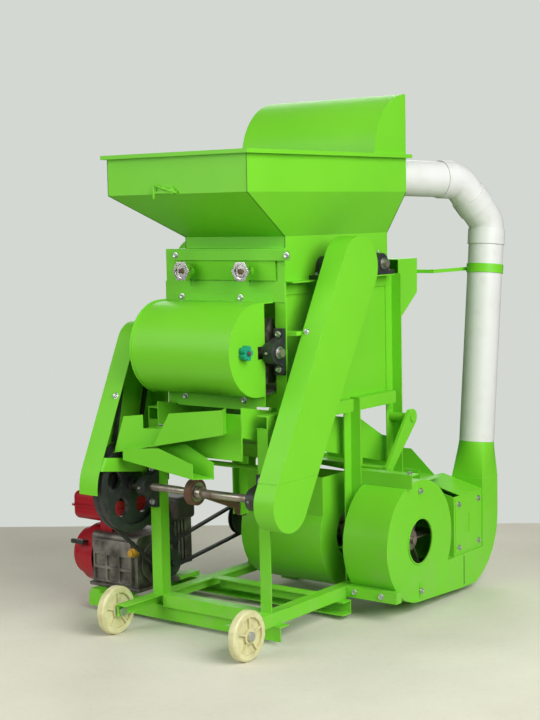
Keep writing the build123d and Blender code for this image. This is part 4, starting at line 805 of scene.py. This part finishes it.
def join(name: str, pieces: Iterable[Piece]) -> Piece:
    """Joins pieces into one.

    Args:
        name: Name of the result.
        pieces: Pieces to join.

    Returns:
        The joined piece.
    """
    listed = list(pieces)
    pick(listed[0])
    for piece in listed:
        piece.select_set(True)
    bpy.ops.object.join()
    joined = bpy.context.object
    joined.name = name
    joined.data.name = name
    return joined


def machine_origin() -> Vector:
    """Point on the floor under the middle of the wheel axle.

    Returns:
        The point in the frame, in metres.
    """
    corners = [*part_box("wheel_left"), *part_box("wheel_right")]
    middle = sum(corners, Vector()) / len(corners)
    return Vector((middle.x, middle.y, 0.0))


ORIGIN = machine_origin()


def spot(x: float, y: float, z: float) -> Vector:
    """Point of the machine: metres right of its middle, behind its wheel axle and above the floor."""
    return ORIGIN + Vector((x, y, z))


def block(name: str, corners: Corners) -> Piece:
    """Box between two points of the machine."""
    low, high = (spot(*corner) for corner in corners)
    return box(name, low, high)


@dataclass
class Assembly:
    """A group of CAD nodes with their finishes, and the new pieces on them."""

    nodes: dict[str, Finish]
    body: str = "frame"

    def build(self) -> None:
        """Makes the new pieces, where the group has any."""

    def keep(self, piece: Piece, finish: Finish, body: str | None = None) -> Piece:
        """Dresses a new piece and lets it ride on a body.

        Args:
            piece: New piece.
            finish: Its finish.
            body: Body that it rides on, or the group's own.

        Returns:
            The piece.
        """
        finish.put_on(piece)
        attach(piece, body or self.body)
        log.info("%s: %s in %s", type(self).__name__, piece.name, finish.name)
        return piece

    def dress(self) -> None:
        """Gives each CAD node its finish."""
        for node, finish in self.nodes.items():
            finish.put_on(frame["nodes"][node])
            log.info("%s: %s in %s", type(self).__name__, node, finish.name)


def all_in(finish: Finish, *nodes: str) -> dict[str, Finish]:
    """One finish for several nodes, by node."""
    return {node: finish for node in nodes}


@dataclass(frozen=True)
class Seam:
    """A straight weld between two points of the machine, in metres."""

    start: Point
    end: Point
    size: float = 0.0028

    def mirrored(self) -> Seam:
        """The same weld on the other side of the machine."""
        flip = [(-x, y, z) for x, y, z in (self.start, self.end)]
        return Seam(flip[0], flip[1], self.size)

    def lay(self, name: str) -> Piece:
        """Lays the bead as a piece of that name."""
        return bead(name, spot(*self.start), spot(*self.end), self.size)


def lay_all(name: str, seams: Iterable[Seam], both_sides: bool = False) -> Piece:
    """Lays several welds as one piece.

    Args:
        name: Name of the piece.
        seams: The welds.
        both_sides: Whether the other side of the machine has the same welds.

    Returns:
        The piece.
    """
    listed = list(seams)
    if both_sides:
        listed += [seam.mirrored() for seam in listed]
    return join(name, [seam.lay(f"{name}_{index}") for index, seam in enumerate(listed)])


@dataclass
class Chassis(Assembly):
    """Angle iron frame, wheels and bolts."""

    nodes: dict[str, Finish] = field(default_factory=lambda: {
        **all_in(GREEN, "base_frame", "posts", "side_bars", "engine_rails"),
        **all_in(CREAM, "wheel_left", "wheel_right"),
        **all_in(ZINC, "wheel_axles", "bolts"),
    })
    inner: float = 0.195
    flange: float = 0.040
    cross_rails: tuple[float, ...] = (0.150, 0.400, 0.857)
    base_top: float = 0.100
    posts: tuple[tuple[float, float], ...] = ((0.150, 0.656), (0.640, 0.696))
    upper_foot: tuple[float, float] = (0.250, 0.696)
    upper_head: tuple[float, float] = (0.290, 1.084)
    upper_flange: float = 0.036
    head_r: float = 0.00752
    head_foot: float = 0.0014
    head_top: float = 0.007
    head_dish: Step = (0.00176, -0.0009)
    washer_r: float = 0.010
    washer_bore: float = 0.004
    washer_top: float = 0.0016
    outside: Point = (0.35, -0.75, 0.55)

    def across(self, y: float, z: float, wide: float) -> Seam:
        """Weld outwards from the frame's inner edge."""
        return Seam((self.inner, y, z), (self.inner + wide, y, z))

    def welds(self) -> None:
        """Beads where rails and posts meet."""
        seams: list[Seam] = []
        for y in self.cross_rails:
            seams.append(Seam((self.inner, y, self.base_top), (self.inner, y + self.flange, self.base_top)))
        for y, top in self.posts:
            seams += [self.across(y, level, self.flange) for level in (self.base_top, top)]
        seams.append(self.across(*self.upper_foot, self.flange))
        seams.append(self.across(*self.upper_head, self.upper_flange))
        self.keep(lay_all("frame_welds", seams, both_sides=True), GREEN)

    def bolt(self) -> Piece:
        """One hexagon bolt on a washer, standing at the origin.

        Returns:
            The bolt.
        """
        up = Way.UP
        head = rod("bolt_head", up.by(self.head_foot), up.by(self.head_top), self.head_r, HEXAGON)
        step(head, up, self.head_dish)
        soften(head, width=0.0008)
        top = up.by(self.washer_top)
        washer = tube("bolt_washer", Vector(), top, self.washer_r, self.washer_bore, sides=28)
        soften(washer, width=0.0004)
        return join("bolt", [head, washer])

    def bolt_places(self) -> list[Matrix]:
        """Where each bolt of the CAD stands and which way it faces.

        Returns:
            Turn and move from the standing bolt, for each bolt.
        """
        mesh = frame["nodes"]["bolts"].data
        group = list(range(len(mesh.vertices)))
        welded: dict[tuple[float, ...], int] = {}
        for vertex in mesh.vertices:
            group[vertex.index] = welded.setdefault(rounded(vertex.co), vertex.index)

        def root(index: int) -> int:
            """First vertex of the solid that a vertex belongs to."""
            while group[index] != index:
                index = group[index]
            return index

        for edge in mesh.edges:
            first, second = (root(index) for index in edge.vertices)
            group[max(first, second)] = min(first, second)
        faces: dict[int, list[Face]] = {}
        for face in mesh.polygons:
            faces.setdefault(root(face.vertices[0]), []).append(face)
        return [self.bolt_place(mesh, listed) for listed in faces.values()]

    def bolt_place(self, mesh: bpy.types.Mesh, listed: list[Face]) -> Matrix:
        """Place of one bolt from the faces of its solid.

        Args:
            mesh: Mesh of the CAD bolts.
            listed: Faces of one bolt.

        Returns:
            Turn and move from the standing bolt.
        """
        corners = [mesh.vertices[index].co for face in listed for index in face.vertices]
        middle = sum(corners, Vector()) / len(corners)

        def line(face: Face) -> tuple[float, ...]:
            """Line along which a face looks, either way."""
            return tuple(round(abs(value), 2) for value in face.normal)

        span: dict[tuple[float, ...], float] = {}
        for face in listed:
            offsets = [mesh.vertices[index].co - middle for index in face.vertices]
            span[line(face)] = max(abs(offset.dot(face.normal)) for offset in offsets)
        thin = min(span, key=span.get)
        facing = next(face.normal.copy() for face in listed if line(face) == thin)
        outward = facing if facing.dot(Vector(self.outside)) > 0 else -facing
        foot = middle - outward * self.head_top / 2
        return Matrix.Translation(foot) @ outward.to_track_quat("Z", "Y").to_matrix().to_4x4()

    def build(self) -> None:
        """Welds, and a bolt with its washer in each bolt's place."""
        self.welds()
        first = self.bolt()
        twins = [copy(first, f"bolt_{index}", place) for index, place in enumerate(self.bolt_places())]
        bpy.data.objects.remove(first)
        bolts = self.keep(join("bolt_set", twins), ZINC)
        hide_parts("bolts")


@dataclass
class FeedHopper(Assembly):
    """Hopper, hood, neck and the feed gate with its hand nuts."""

    nodes: dict[str, Finish] = field(default_factory=lambda: {
        **all_in(GREEN, "hopper", "hopper_hood", "neck", "front_plate", "feed_gate"),
        **all_in(CHROME, "hand_nut_left", "hand_nut_right"),
    })
    studs: tuple[float, ...] = (-0.122, 0.110)
    stud_end: float = 0.1908
    stud_z: float = 1.118
    stud_r: float = 0.0084
    stud_long: float = 0.0042
    stud_tip: Step = (0.0022, 0.0010)
    latch: Point = (-0.006, 0.030, 1.361)
    latch_nut_r: float = 0.0105
    latch_nut_high: float = 0.008
    latch_tip: Step = (0.0042, 0.0015)
    latch_bar_r: float = 0.0035
    latch_bar_run: Point = (-0.068, 0.0, 0.019)
    latch_leg: float = 0.041
    gate: Corners = ((-0.186, 0.2405, 1.090), (0.206, 0.2430, 1.149))
    gate_lip: Point = (0.0, -0.004, 0.0006)
    shaded_corner_beads: tuple[Seam, ...] = (
        Seam((0.195, 0.306, 1.220), (0.2675, 0.033, 1.352), 0.0018),
        Seam((0.195, 0.877, 1.220), (0.2675, 0.883, 1.352), 0.0018),
        Seam((0.195, 0.306, 1.186), (0.195, 0.306, 1.220), 0.0018),
        Seam((0.2675, 0.033, 1.352), (0.2675, 0.033, 1.461), 0.0016),
    )

    def stud_ends(self) -> None:
        """Rusty sawn ends of the gate's studs, inside the hand nuts."""
        ends = []
        for index, x in enumerate(self.studs):
            near = spot(x, self.stud_end, self.stud_z)
            far = near - Way.FRONT.by(self.stud_long)
            end = rod(f"stud_end_{index}", far, near, self.stud_r, sides=28)
            step(end, Way.FRONT, self.stud_tip)
            soften(end, width=0.0005)
            ends.append(end)
        self.keep(join("stud_ends", ends), BROWN_IRON, "feed_gate")

    def latch_handle(self) -> None:
        """Bent bar and nut of the latch on the hopper's front."""
        hub = spot(*self.latch)
        out = hub + Way.FRONT.by(self.latch_nut_high)
        nut = rod("latch_nut", hub, out, self.latch_nut_r, HEXAGON)
        step(nut, Way.FRONT, self.latch_tip)
        elbow = out + Vector(self.latch_bar_run)
        bar = rod("latch_bar", out, elbow, self.latch_bar_r, sides=16)
        leg = rod("latch_leg", elbow, elbow - Way.UP.by(self.latch_leg), self.latch_bar_r, sides=16)
        pieces = [nut, bar, leg]
        for piece in pieces:
            soften(piece, width=0.0008)
        self.keep(join("latch_handle", pieces), GREEN)

    def build(self) -> None:
        """Gate sheet, stud ends, latch, and dark beads along the corners of hopper and neck, painted as the
        shadow in their gaps.
        """
        self.stud_ends()
        self.latch_handle()
        sheet = block("gate_sheet", self.gate)
        pull(sheet, Way.UP.faces(), self.gate_lip)
        soften(sheet, width=0.0006)
        self.keep(sheet, GREEN, "feed_gate")
        # Dark beads along the corners, painted as the shadow in the gaps between sheets.
        self.keep(lay_all("hopper_gap_shade", self.shaded_corner_beads, both_sides=True), GAP_SHADE)


@dataclass
class ShellingUnit(Assembly):
    """Body, drums and their concaves."""

    nodes: dict[str, Finish] = field(default_factory=lambda: {
        **all_in(GREEN, "body_panels", "drum_cover", "rear_spout"),
        **all_in(BARE_STEEL, "upper_drum", "rear_drum", "front_drum", "concaves"),
        **all_in(BLACK_IRON, "upper_drum_pulleys", "rear_drum_pulley", "front_drum_pulley"),
        "star_knob": TEAL,
    })
    knob_r: float = 0.023
    nut_gap: float = 0.0006
    nut_high: float = 0.005
    nut_r: float = 0.0075
    spindle_tip: Step = (0.0026, 0.0018)

    def build(self) -> None:
        """Nut on the spindle of the star knob."""
        low, high = (Vector(corner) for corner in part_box("star_knob"))
        end = Vector((high.x + self.nut_gap, high.y - self.knob_r, (low.z + high.z) / 2))
        nut = rod("knob_nut", end, end + Way.RIGHT.by(self.nut_high), self.nut_r, HEXAGON)
        step(nut, Way.RIGHT, self.spindle_tip)
        soften(nut, width=0.0006)
        self.keep(nut, BROWN_IRON)


@dataclass(frozen=True)
class Bearing:
    """A pair of pillow blocks: the shaft's body and axis, and the way the blocks stand."""

    shaft: str
    y: float
    z: float
    up: Way
    block_x: float = 0.215
    crown: float = 0.0335
    collar_x: float = 0.2326
    collar_wide: float = 0.0068
    collar_r: float = 0.0185
    collar_bore: float = 0.0126
    nipple_r: float = 0.0042
    nipple_foot: float = 0.005
    nipple_steps: tuple[Step, ...] = ((0.0016, 0.004), (0.0004, 0.003))

    def collars(self) -> list[Piece]:
        """Locking collars on the shaft, outside both blocks.

        Returns:
            The left and the right collar.
        """
        made = []
        for out, side in ((Way.LEFT, "left"), (Way.RIGHT, "right")):
            near = spot(0.0, self.y, self.z) + out.by(self.collar_x)
            far = near + out.by(self.collar_wide)
            collar = tube(f"{self.shaft}_collar_{side}", near, far, self.collar_r, self.collar_bore)
            soften(collar, width=0.0008)
            made.append(collar)
        return made

    def nipple(self, side: int, name: str) -> Piece:
        """Grease nipple on the crown of a block.

        Args:
            side: 1 for the right block and -1 for the left.
            name: Name of the piece.

        Returns:
            The piece.
        """
        crown = spot(side * self.block_x, self.y, self.z) + self.up.by(self.crown)
        stem = rod(name, crown, crown + self.up.by(self.nipple_foot), self.nipple_r, HEXAGON)
        for size in self.nipple_steps:
            step(stem, self.up, size)
        soften(stem, width=0.0005)
        return stem


@dataclass
class DriveLine(Assembly):
    """Counter shaft, bearings, belts and guards."""

    nodes: dict[str, Finish] = field(default_factory=lambda: {
        **all_in(BLACK_IRON, "counter_pulleys", "pillow_blocks", "fan_pulley", "engine_pulley"),
        **all_in(GREEN, "right_guard", "left_guard", "rear_belt_guard", "guard_straps"),
        "counter_shaft": BARE_STEEL,
        "drive_belts": RUBBER,
    })
    bearings: tuple[Bearing, ...] = (
        Bearing("upper_drum", 0.495, 1.1205, Way.UP),
        Bearing("rear_drum", 0.790, 1.1205, Way.UP),
        Bearing("fan_rotor", 0.722, 0.233, Way.UP),
        Bearing("front_drum", 0.2135, 0.878, Way.FRONT),
        Bearing("counter_shaft", 0.1135, 0.450, Way.FRONT),
    )
    stay_tab: Corners = ((-0.280, -0.0395, 0.514), (-0.258, -0.0362, 0.554))
    stay_bar: Corners = ((-0.262, -0.0372, 0.514), (-0.258, -0.0362, 0.554))
    stay_lean: Point = (0.0, 0.020, 0.0)
    stay_run: tuple[Point, ...] = ((0.0229, 0.180, -0.024), (0.0, 0.030, -0.004))
    guard_seams: tuple[Seam, ...] = (
        Seam((0.342, 0.056, 0.516), (0.342, 0.246, 0.516), 0.0012),
        Seam((0.271, 0.0528, 0.516), (0.342, 0.0528, 0.516), 0.0016),
    )

    def guard_stay(self) -> None:
        """Bent flat bar from the left guard's rim back to the front post."""
        tab = block("stay_tab", self.stay_tab)
        bar = block("stay_bar", self.stay_bar)
        for leaf in (tab, bar):
            choose(leaf, Way.UP.faces())
            bpy.ops.transform.translate(value=self.stay_lean)
            close()
        for push in self.stay_run:
            pull(bar, Way.REAR.faces(cosine=0.8), push)
        stay = join("guard_stay", [tab, bar])
        soften(stay, width=0.0006)
        self.keep(stay, GREEN)

    def build(self) -> None:
        """Collars and grease nipples on the bearings, and the guards' stay and weld seam."""
        self.guard_stay()
        nipples = []
        for bearing in self.bearings:
            self.keep(join(f"{bearing.shaft}_collars", bearing.collars()), ZINC, bearing.shaft)
            nipples += [bearing.nipple(side, f"{bearing.shaft}_nipple_{side + 1}") for side in (-1, 1)]
        self.keep(join("grease_nipples", nipples), ZINC)
        self.keep(lay_all("guard_seam", self.guard_seams), GREEN)


@dataclass
class SieveUnit(Assembly):
    """Sieve with its chutes, hangers and connecting rod."""

    nodes: dict[str, Finish] = field(default_factory=lambda: {
        **all_in(GREEN, "sieve_box", "kernel_trough", "fines_chute"),
        **all_in(GREEN, "rear_hangers", "front_hangers", "hanger_pins"),
        "connecting_rod": BROWN_IRON,
        "sieve_deck": ZINC,
    })


@dataclass
class AirSystem(Assembly):
    """Fans, blower, feed box, lift duct and the white pipe."""

    nodes: dict[str, Finish] = field(default_factory=lambda: {
        **all_in(GREEN, "winnower_casing", "blower_casing", "blower_bars", "feed_box", "feed_box_lid"),
        **all_in(GREEN, "lift_duct", "return_chute", "pipe_strap"),
        **all_in(BARE_STEEL, "fan_shaft", "fan_wheels"),
        "white_pipe": WHITE_PIPE,
    })
    inlet: Corners = ((0.4045, 0.722, 0.233), (0.4095, 0.722, 0.233))
    inlet_r: float = 0.0718
    rim_r: float = 0.0765
    joint: Corners = ((0.4050, 1.0014, 0.030), (0.4067, 1.0046, 0.129))

    def build(self) -> None:
        """Rolled rim round the blower's inlet, and a dark strip between casing and duct, painted as the
        shadow of the gap there.
        """
        near, far = (spot(*point) for point in self.inlet)
        rim = tube("inlet_rim", near, far, self.rim_r, self.inlet_r, sides=64)
        soften(rim, width=0.0012)
        self.keep(rim, GREEN)
        # Dark strip painted as the shadow in the gap between casing and duct.
        joint = block("duct_gap_shadow", self.joint)
        soften(joint, width=0.0002)
        self.keep(joint, BLACK_IRON)


@dataclass
class Engine(Assembly):
    """Petrol engine on its bed bars."""

    nodes: dict[str, Finish] = field(default_factory=lambda: {
        **all_in(DIE_CAST, "engine_block", "engine_cylinder"),
        **all_in(RED, "recoil_cover", "fuel_tank"),
        "muffler": SOOT_STEEL,
    })
    crank: tuple[float, float] = (0.290, 0.162)
    front: Corners = ((-0.528, 0.186, 0.094), (-0.362, 0.201, 0.236))
    front_middle: Point = (-0.445, 0.186, 0.165)
    front_pan: Step = (0.005, -0.009)
    front_boss: Step = (0.009, 0.004)
    boss_over: float = 0.03
    shaft_cover_x: tuple[float, float] = (-0.3455, -0.3385)
    shaft_cover_r: float = 0.074
    shaft_cover_bore: float = 0.011
    foot: Corners = ((-0.556, 0.193, 0.0725), (-0.334, 0.397, 0.084))
    oil_cap: Corners = ((-0.352, 0.203, 0.205), (-0.352, 0.180, 0.205))
    oil_cap_r: float = 0.015
    oil_cap_grip: Step = (0.004, 0.008)
    starter_x: tuple[float, float] = (-0.6418, -0.6455)
    starter_r: float = 0.072
    starter_rim: Step = (0.008, 0.0002)
    starter_hub: Step = (0.034, 0.003)
    hub_r: float = 0.03
    vent_ring: tuple[float, float] = (0.04, 0.06)
    vent: Step = (0.0012, -0.003)
    grip: Corners = ((-0.622, 0.176, 0.208), (-0.566, 0.189, 0.222))
    grip_stem: Step = (0.0045, 0.022)
    fuel_cap: Point = (-0.545, 0.3075, 0.3785)
    fuel_cap_r: float = 0.034
    fuel_cap_high: float = 0.020
    fuel_cap_crown: Step = (0.006, 0.0025)
    groove_rim: float = 0.0006
    groove_deep: float = 0.0022

    def crankcase(self) -> None:
        """Ribbed front cover, round shaft cover, foot flange and oil cap of the crankcase."""
        cover = block("crankcase_front", self.front)
        split(cover, Way.FRONT.faces())
        middle = spot(*self.front_middle)
        boss_foot = middle.z + self.boss_over
        step(cover, Way.FRONT, self.front_pan, lambda mid: mid.z < middle.z)
        step(cover, Way.FRONT, self.front_boss, lambda mid: mid.z > boss_foot and mid.x < middle.x)
        soften(cover, width=0.0022, steps=3)
        self.keep(cover, DIE_CAST)
        near, far = (spot(x, *self.crank) for x in self.shaft_cover_x)
        disc = tube("shaft_cover", near, far, self.shaft_cover_r, self.shaft_cover_bore, sides=56)
        soften(disc, width=0.0015)
        self.keep(disc, DIE_CAST)
        foot = block("engine_foot", self.foot)
        split(foot, lambda _, normal: abs(normal.y) > FACING)
        soften(foot, width=0.002)
        self.keep(foot, DIE_CAST)
        near, far = (spot(*point) for point in self.oil_cap)
        cap = rod("oil_cap", near, far, self.oil_cap_r, sides=18)
        step(cap, Way.FRONT, self.oil_cap_grip)
        soften(cap, width=0.0012)
        self.keep(cap, BRASS)

    def starter_face(self) -> None:
        """Vented face of the recoil cover with its hub."""
        foot, centre = (spot(x, *self.crank) for x in self.starter_x)
        face = rod("starter_face", foot, centre, self.starter_r, sides=48)
        step(face, Way.LEFT, self.starter_rim)
        step(face, Way.LEFT, self.starter_hub, lambda mid: (mid - centre).length < self.hub_r)
        outer = Way.LEFT.faces()
        inner_r, outer_r = self.vent_ring
        vents = every_other(
            face, lambda mid, normal: outer(mid, normal) and inner_r < (mid - centre).length < outer_r
        )
        step(face, Way.LEFT, self.vent, vents)
        soften(face, width=0.0006)
        self.keep(face, RED)

    def pull_grip(self) -> None:
        """Handle of the starter's cord."""
        grip = block("pull_grip", self.grip)
        step(grip, Way.REAR, self.grip_stem)
        soften(grip, width=0.0042, steps=3)
        self.keep(grip, BLACK_PLASTIC)

    def tank_cap(self) -> None:
        """Grooved cap on the fuel tank."""
        foot = spot(*self.fuel_cap)
        cap = rod("fuel_cap", foot, foot + Way.UP.by(self.fuel_cap_high), self.fuel_cap_r, sides=36)
        grooves = every_other(cap, lambda _, normal: abs(normal.z) < 1 - FACING)
        choose(cap, lambda mid, _: grooves(mid))
        bpy.ops.mesh.inset(thickness=self.groove_rim, use_individual=True)
        bpy.ops.transform.shrink_fatten(value=-self.groove_deep)
        close()
        step(cap, Way.UP, self.fuel_cap_crown)
        soften(cap, width=0.0007)
        self.keep(cap, BLACK_PLASTIC)

    def build(self) -> None:
        """Crankcase covers, starter and fuel cap."""
        self.crankcase()
        self.starter_face()
        self.pull_grip()
        self.tank_cap()


@dataclass(frozen=True)
class Lamp:
    """A soft panel of light that points at the machine."""

    name: str
    place: Point
    size: tuple[float, float]
    power: float
    aim: Point = (0.0, 0.0, 0.8)

    def hang(self) -> None:
        """Makes the lamp."""
        data = bpy.data.lights.new(self.name, "AREA")
        data.shape = "RECTANGLE"
        data.size, data.size_y = self.size
        data.energy = self.power
        lamp = bpy.data.objects.new(self.name, data)
        bpy.context.scene.collection.objects.link(lamp)
        lamp.location = self.place
        lamp.rotation_euler = (Vector(self.aim) - Vector(self.place)).to_track_quat("-Z", "Y").to_euler()


@dataclass
class Studio:
    """Floor, pale surround, lamps and camera."""

    eye: Point = (2.82428, -3.24906, 1.28841)
    right: Point = (0.7980, 0.6023, -0.0198)
    up: Point = (-0.0441, 0.0911, 0.9949)
    back: Point = (0.6010, -0.7931, 0.0993)
    lens: float = 73.25
    sensor: float = 36.0
    floor_half: float = 1.758
    floor_turn: float = math.radians(33.77)
    floor_middle: Point = (0.156, 0.054, 0.0)
    wall: Colour = chip(212, 216, 211)
    floor: Colour = chip(220, 217, 200)
    grime: Colour = chip(196, 192, 176)
    ambient: float = 0.14
    lamps: tuple[Lamp, ...] = (
        Lamp("key", (-1.4, -4.2, 2.5), (3.6, 3.0), 112.0),
        Lamp("fill", (3.8, -1.2, 3.0), (3.4, 3.4), 232.0),
        Lamp("top", (0.3, 0.2, 4.6), (4.6, 4.6), 14.0),
        Lamp("rear", (-2.6, 3.4, 3.0), (3.0, 3.0), 75.0),
    )

    def surround(self) -> None:
        """Pale surround that the camera and reflections see, with a plain ambient light."""
        world = bpy.data.worlds.new("surround")
        bpy.context.scene.world = world
        world.use_nodes = True
        nodes, links = world.node_tree.nodes, world.node_tree.links
        backdrop = nodes["Background"]
        backdrop.inputs["Color"].default_value = self.wall
        path = nodes.new("ShaderNodeLightPath")
        seen = nodes.new("ShaderNodeMath")
        seen.operation = "MAXIMUM"
        level = nodes.new("ShaderNodeMapRange")
        level.inputs["To Min"].default_value = self.ambient
        level.inputs["To Max"].default_value = 1.0
        links.new(path.outputs["Is Camera Ray"], seen.inputs[0])
        links.new(path.outputs["Is Transmission Ray"], seen.inputs[1])
        links.new(seen.outputs[0], level.inputs["Value"])
        links.new(level.outputs[0], backdrop.inputs["Strength"])

    def ground(self) -> None:
        """Pale concrete floor."""
        clear()
        bpy.ops.mesh.primitive_plane_add(
            size=2 * self.floor_half, location=spot(*self.floor_middle), rotation=(0, 0, self.floor_turn)
        )
        floor = settle("floor")
        graph = Graph("pale_floor")
        cloud = graph.noise(grain=0.5, detail=6.0)
        grain = graph.noise(grain=0.02, detail=5.0)
        soiled = cloud.band(0.4, 0.75) * 0.5 + grain.band(0.5, 0.8) * 0.2
        graph.surface(
            Base_Color=graph.mix(soiled, self.floor, self.grime),
            Roughness=0.85,
            Normal=graph.bump(grain, depth=0.0006),
        )
        floor.data.materials.append(graph.material)

    def camera(self) -> None:
        """Camera at the photograph's place and angle."""
        data = bpy.data.cameras.new("camera")
        data.lens = self.lens
        data.sensor_width = self.sensor
        data.sensor_fit = "AUTO"
        camera = bpy.data.objects.new("camera", data)
        bpy.context.scene.collection.objects.link(camera)
        turn = Matrix((self.right, self.up, self.back)).transposed()
        camera.matrix_world = Matrix.Translation(spot(*self.eye)) @ turn.to_4x4()
        bpy.context.scene.camera = camera

    def build(self) -> None:
        """Sets up the whole studio."""
        bpy.context.scene.view_settings.view_transform = "Standard"
        self.surround()
        self.ground()
        for lamp in self.lamps:
            lamp.hang()
        self.camera()


def main() -> None:
    """Builds and dresses each group in order, then sets up the studio."""
    logging.basicConfig(level=logging.INFO, format="%(name)s: %(message)s")
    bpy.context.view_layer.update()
    groups: list[Assembly] = [
        Chassis(), FeedHopper(), ShellingUnit(), DriveLine(), SieveUnit(), AirSystem(), Engine(),
    ]
    for group in groups:
        group.build()
        group.dress()
    Studio().build()


if __name__ == "__main__":
    main()
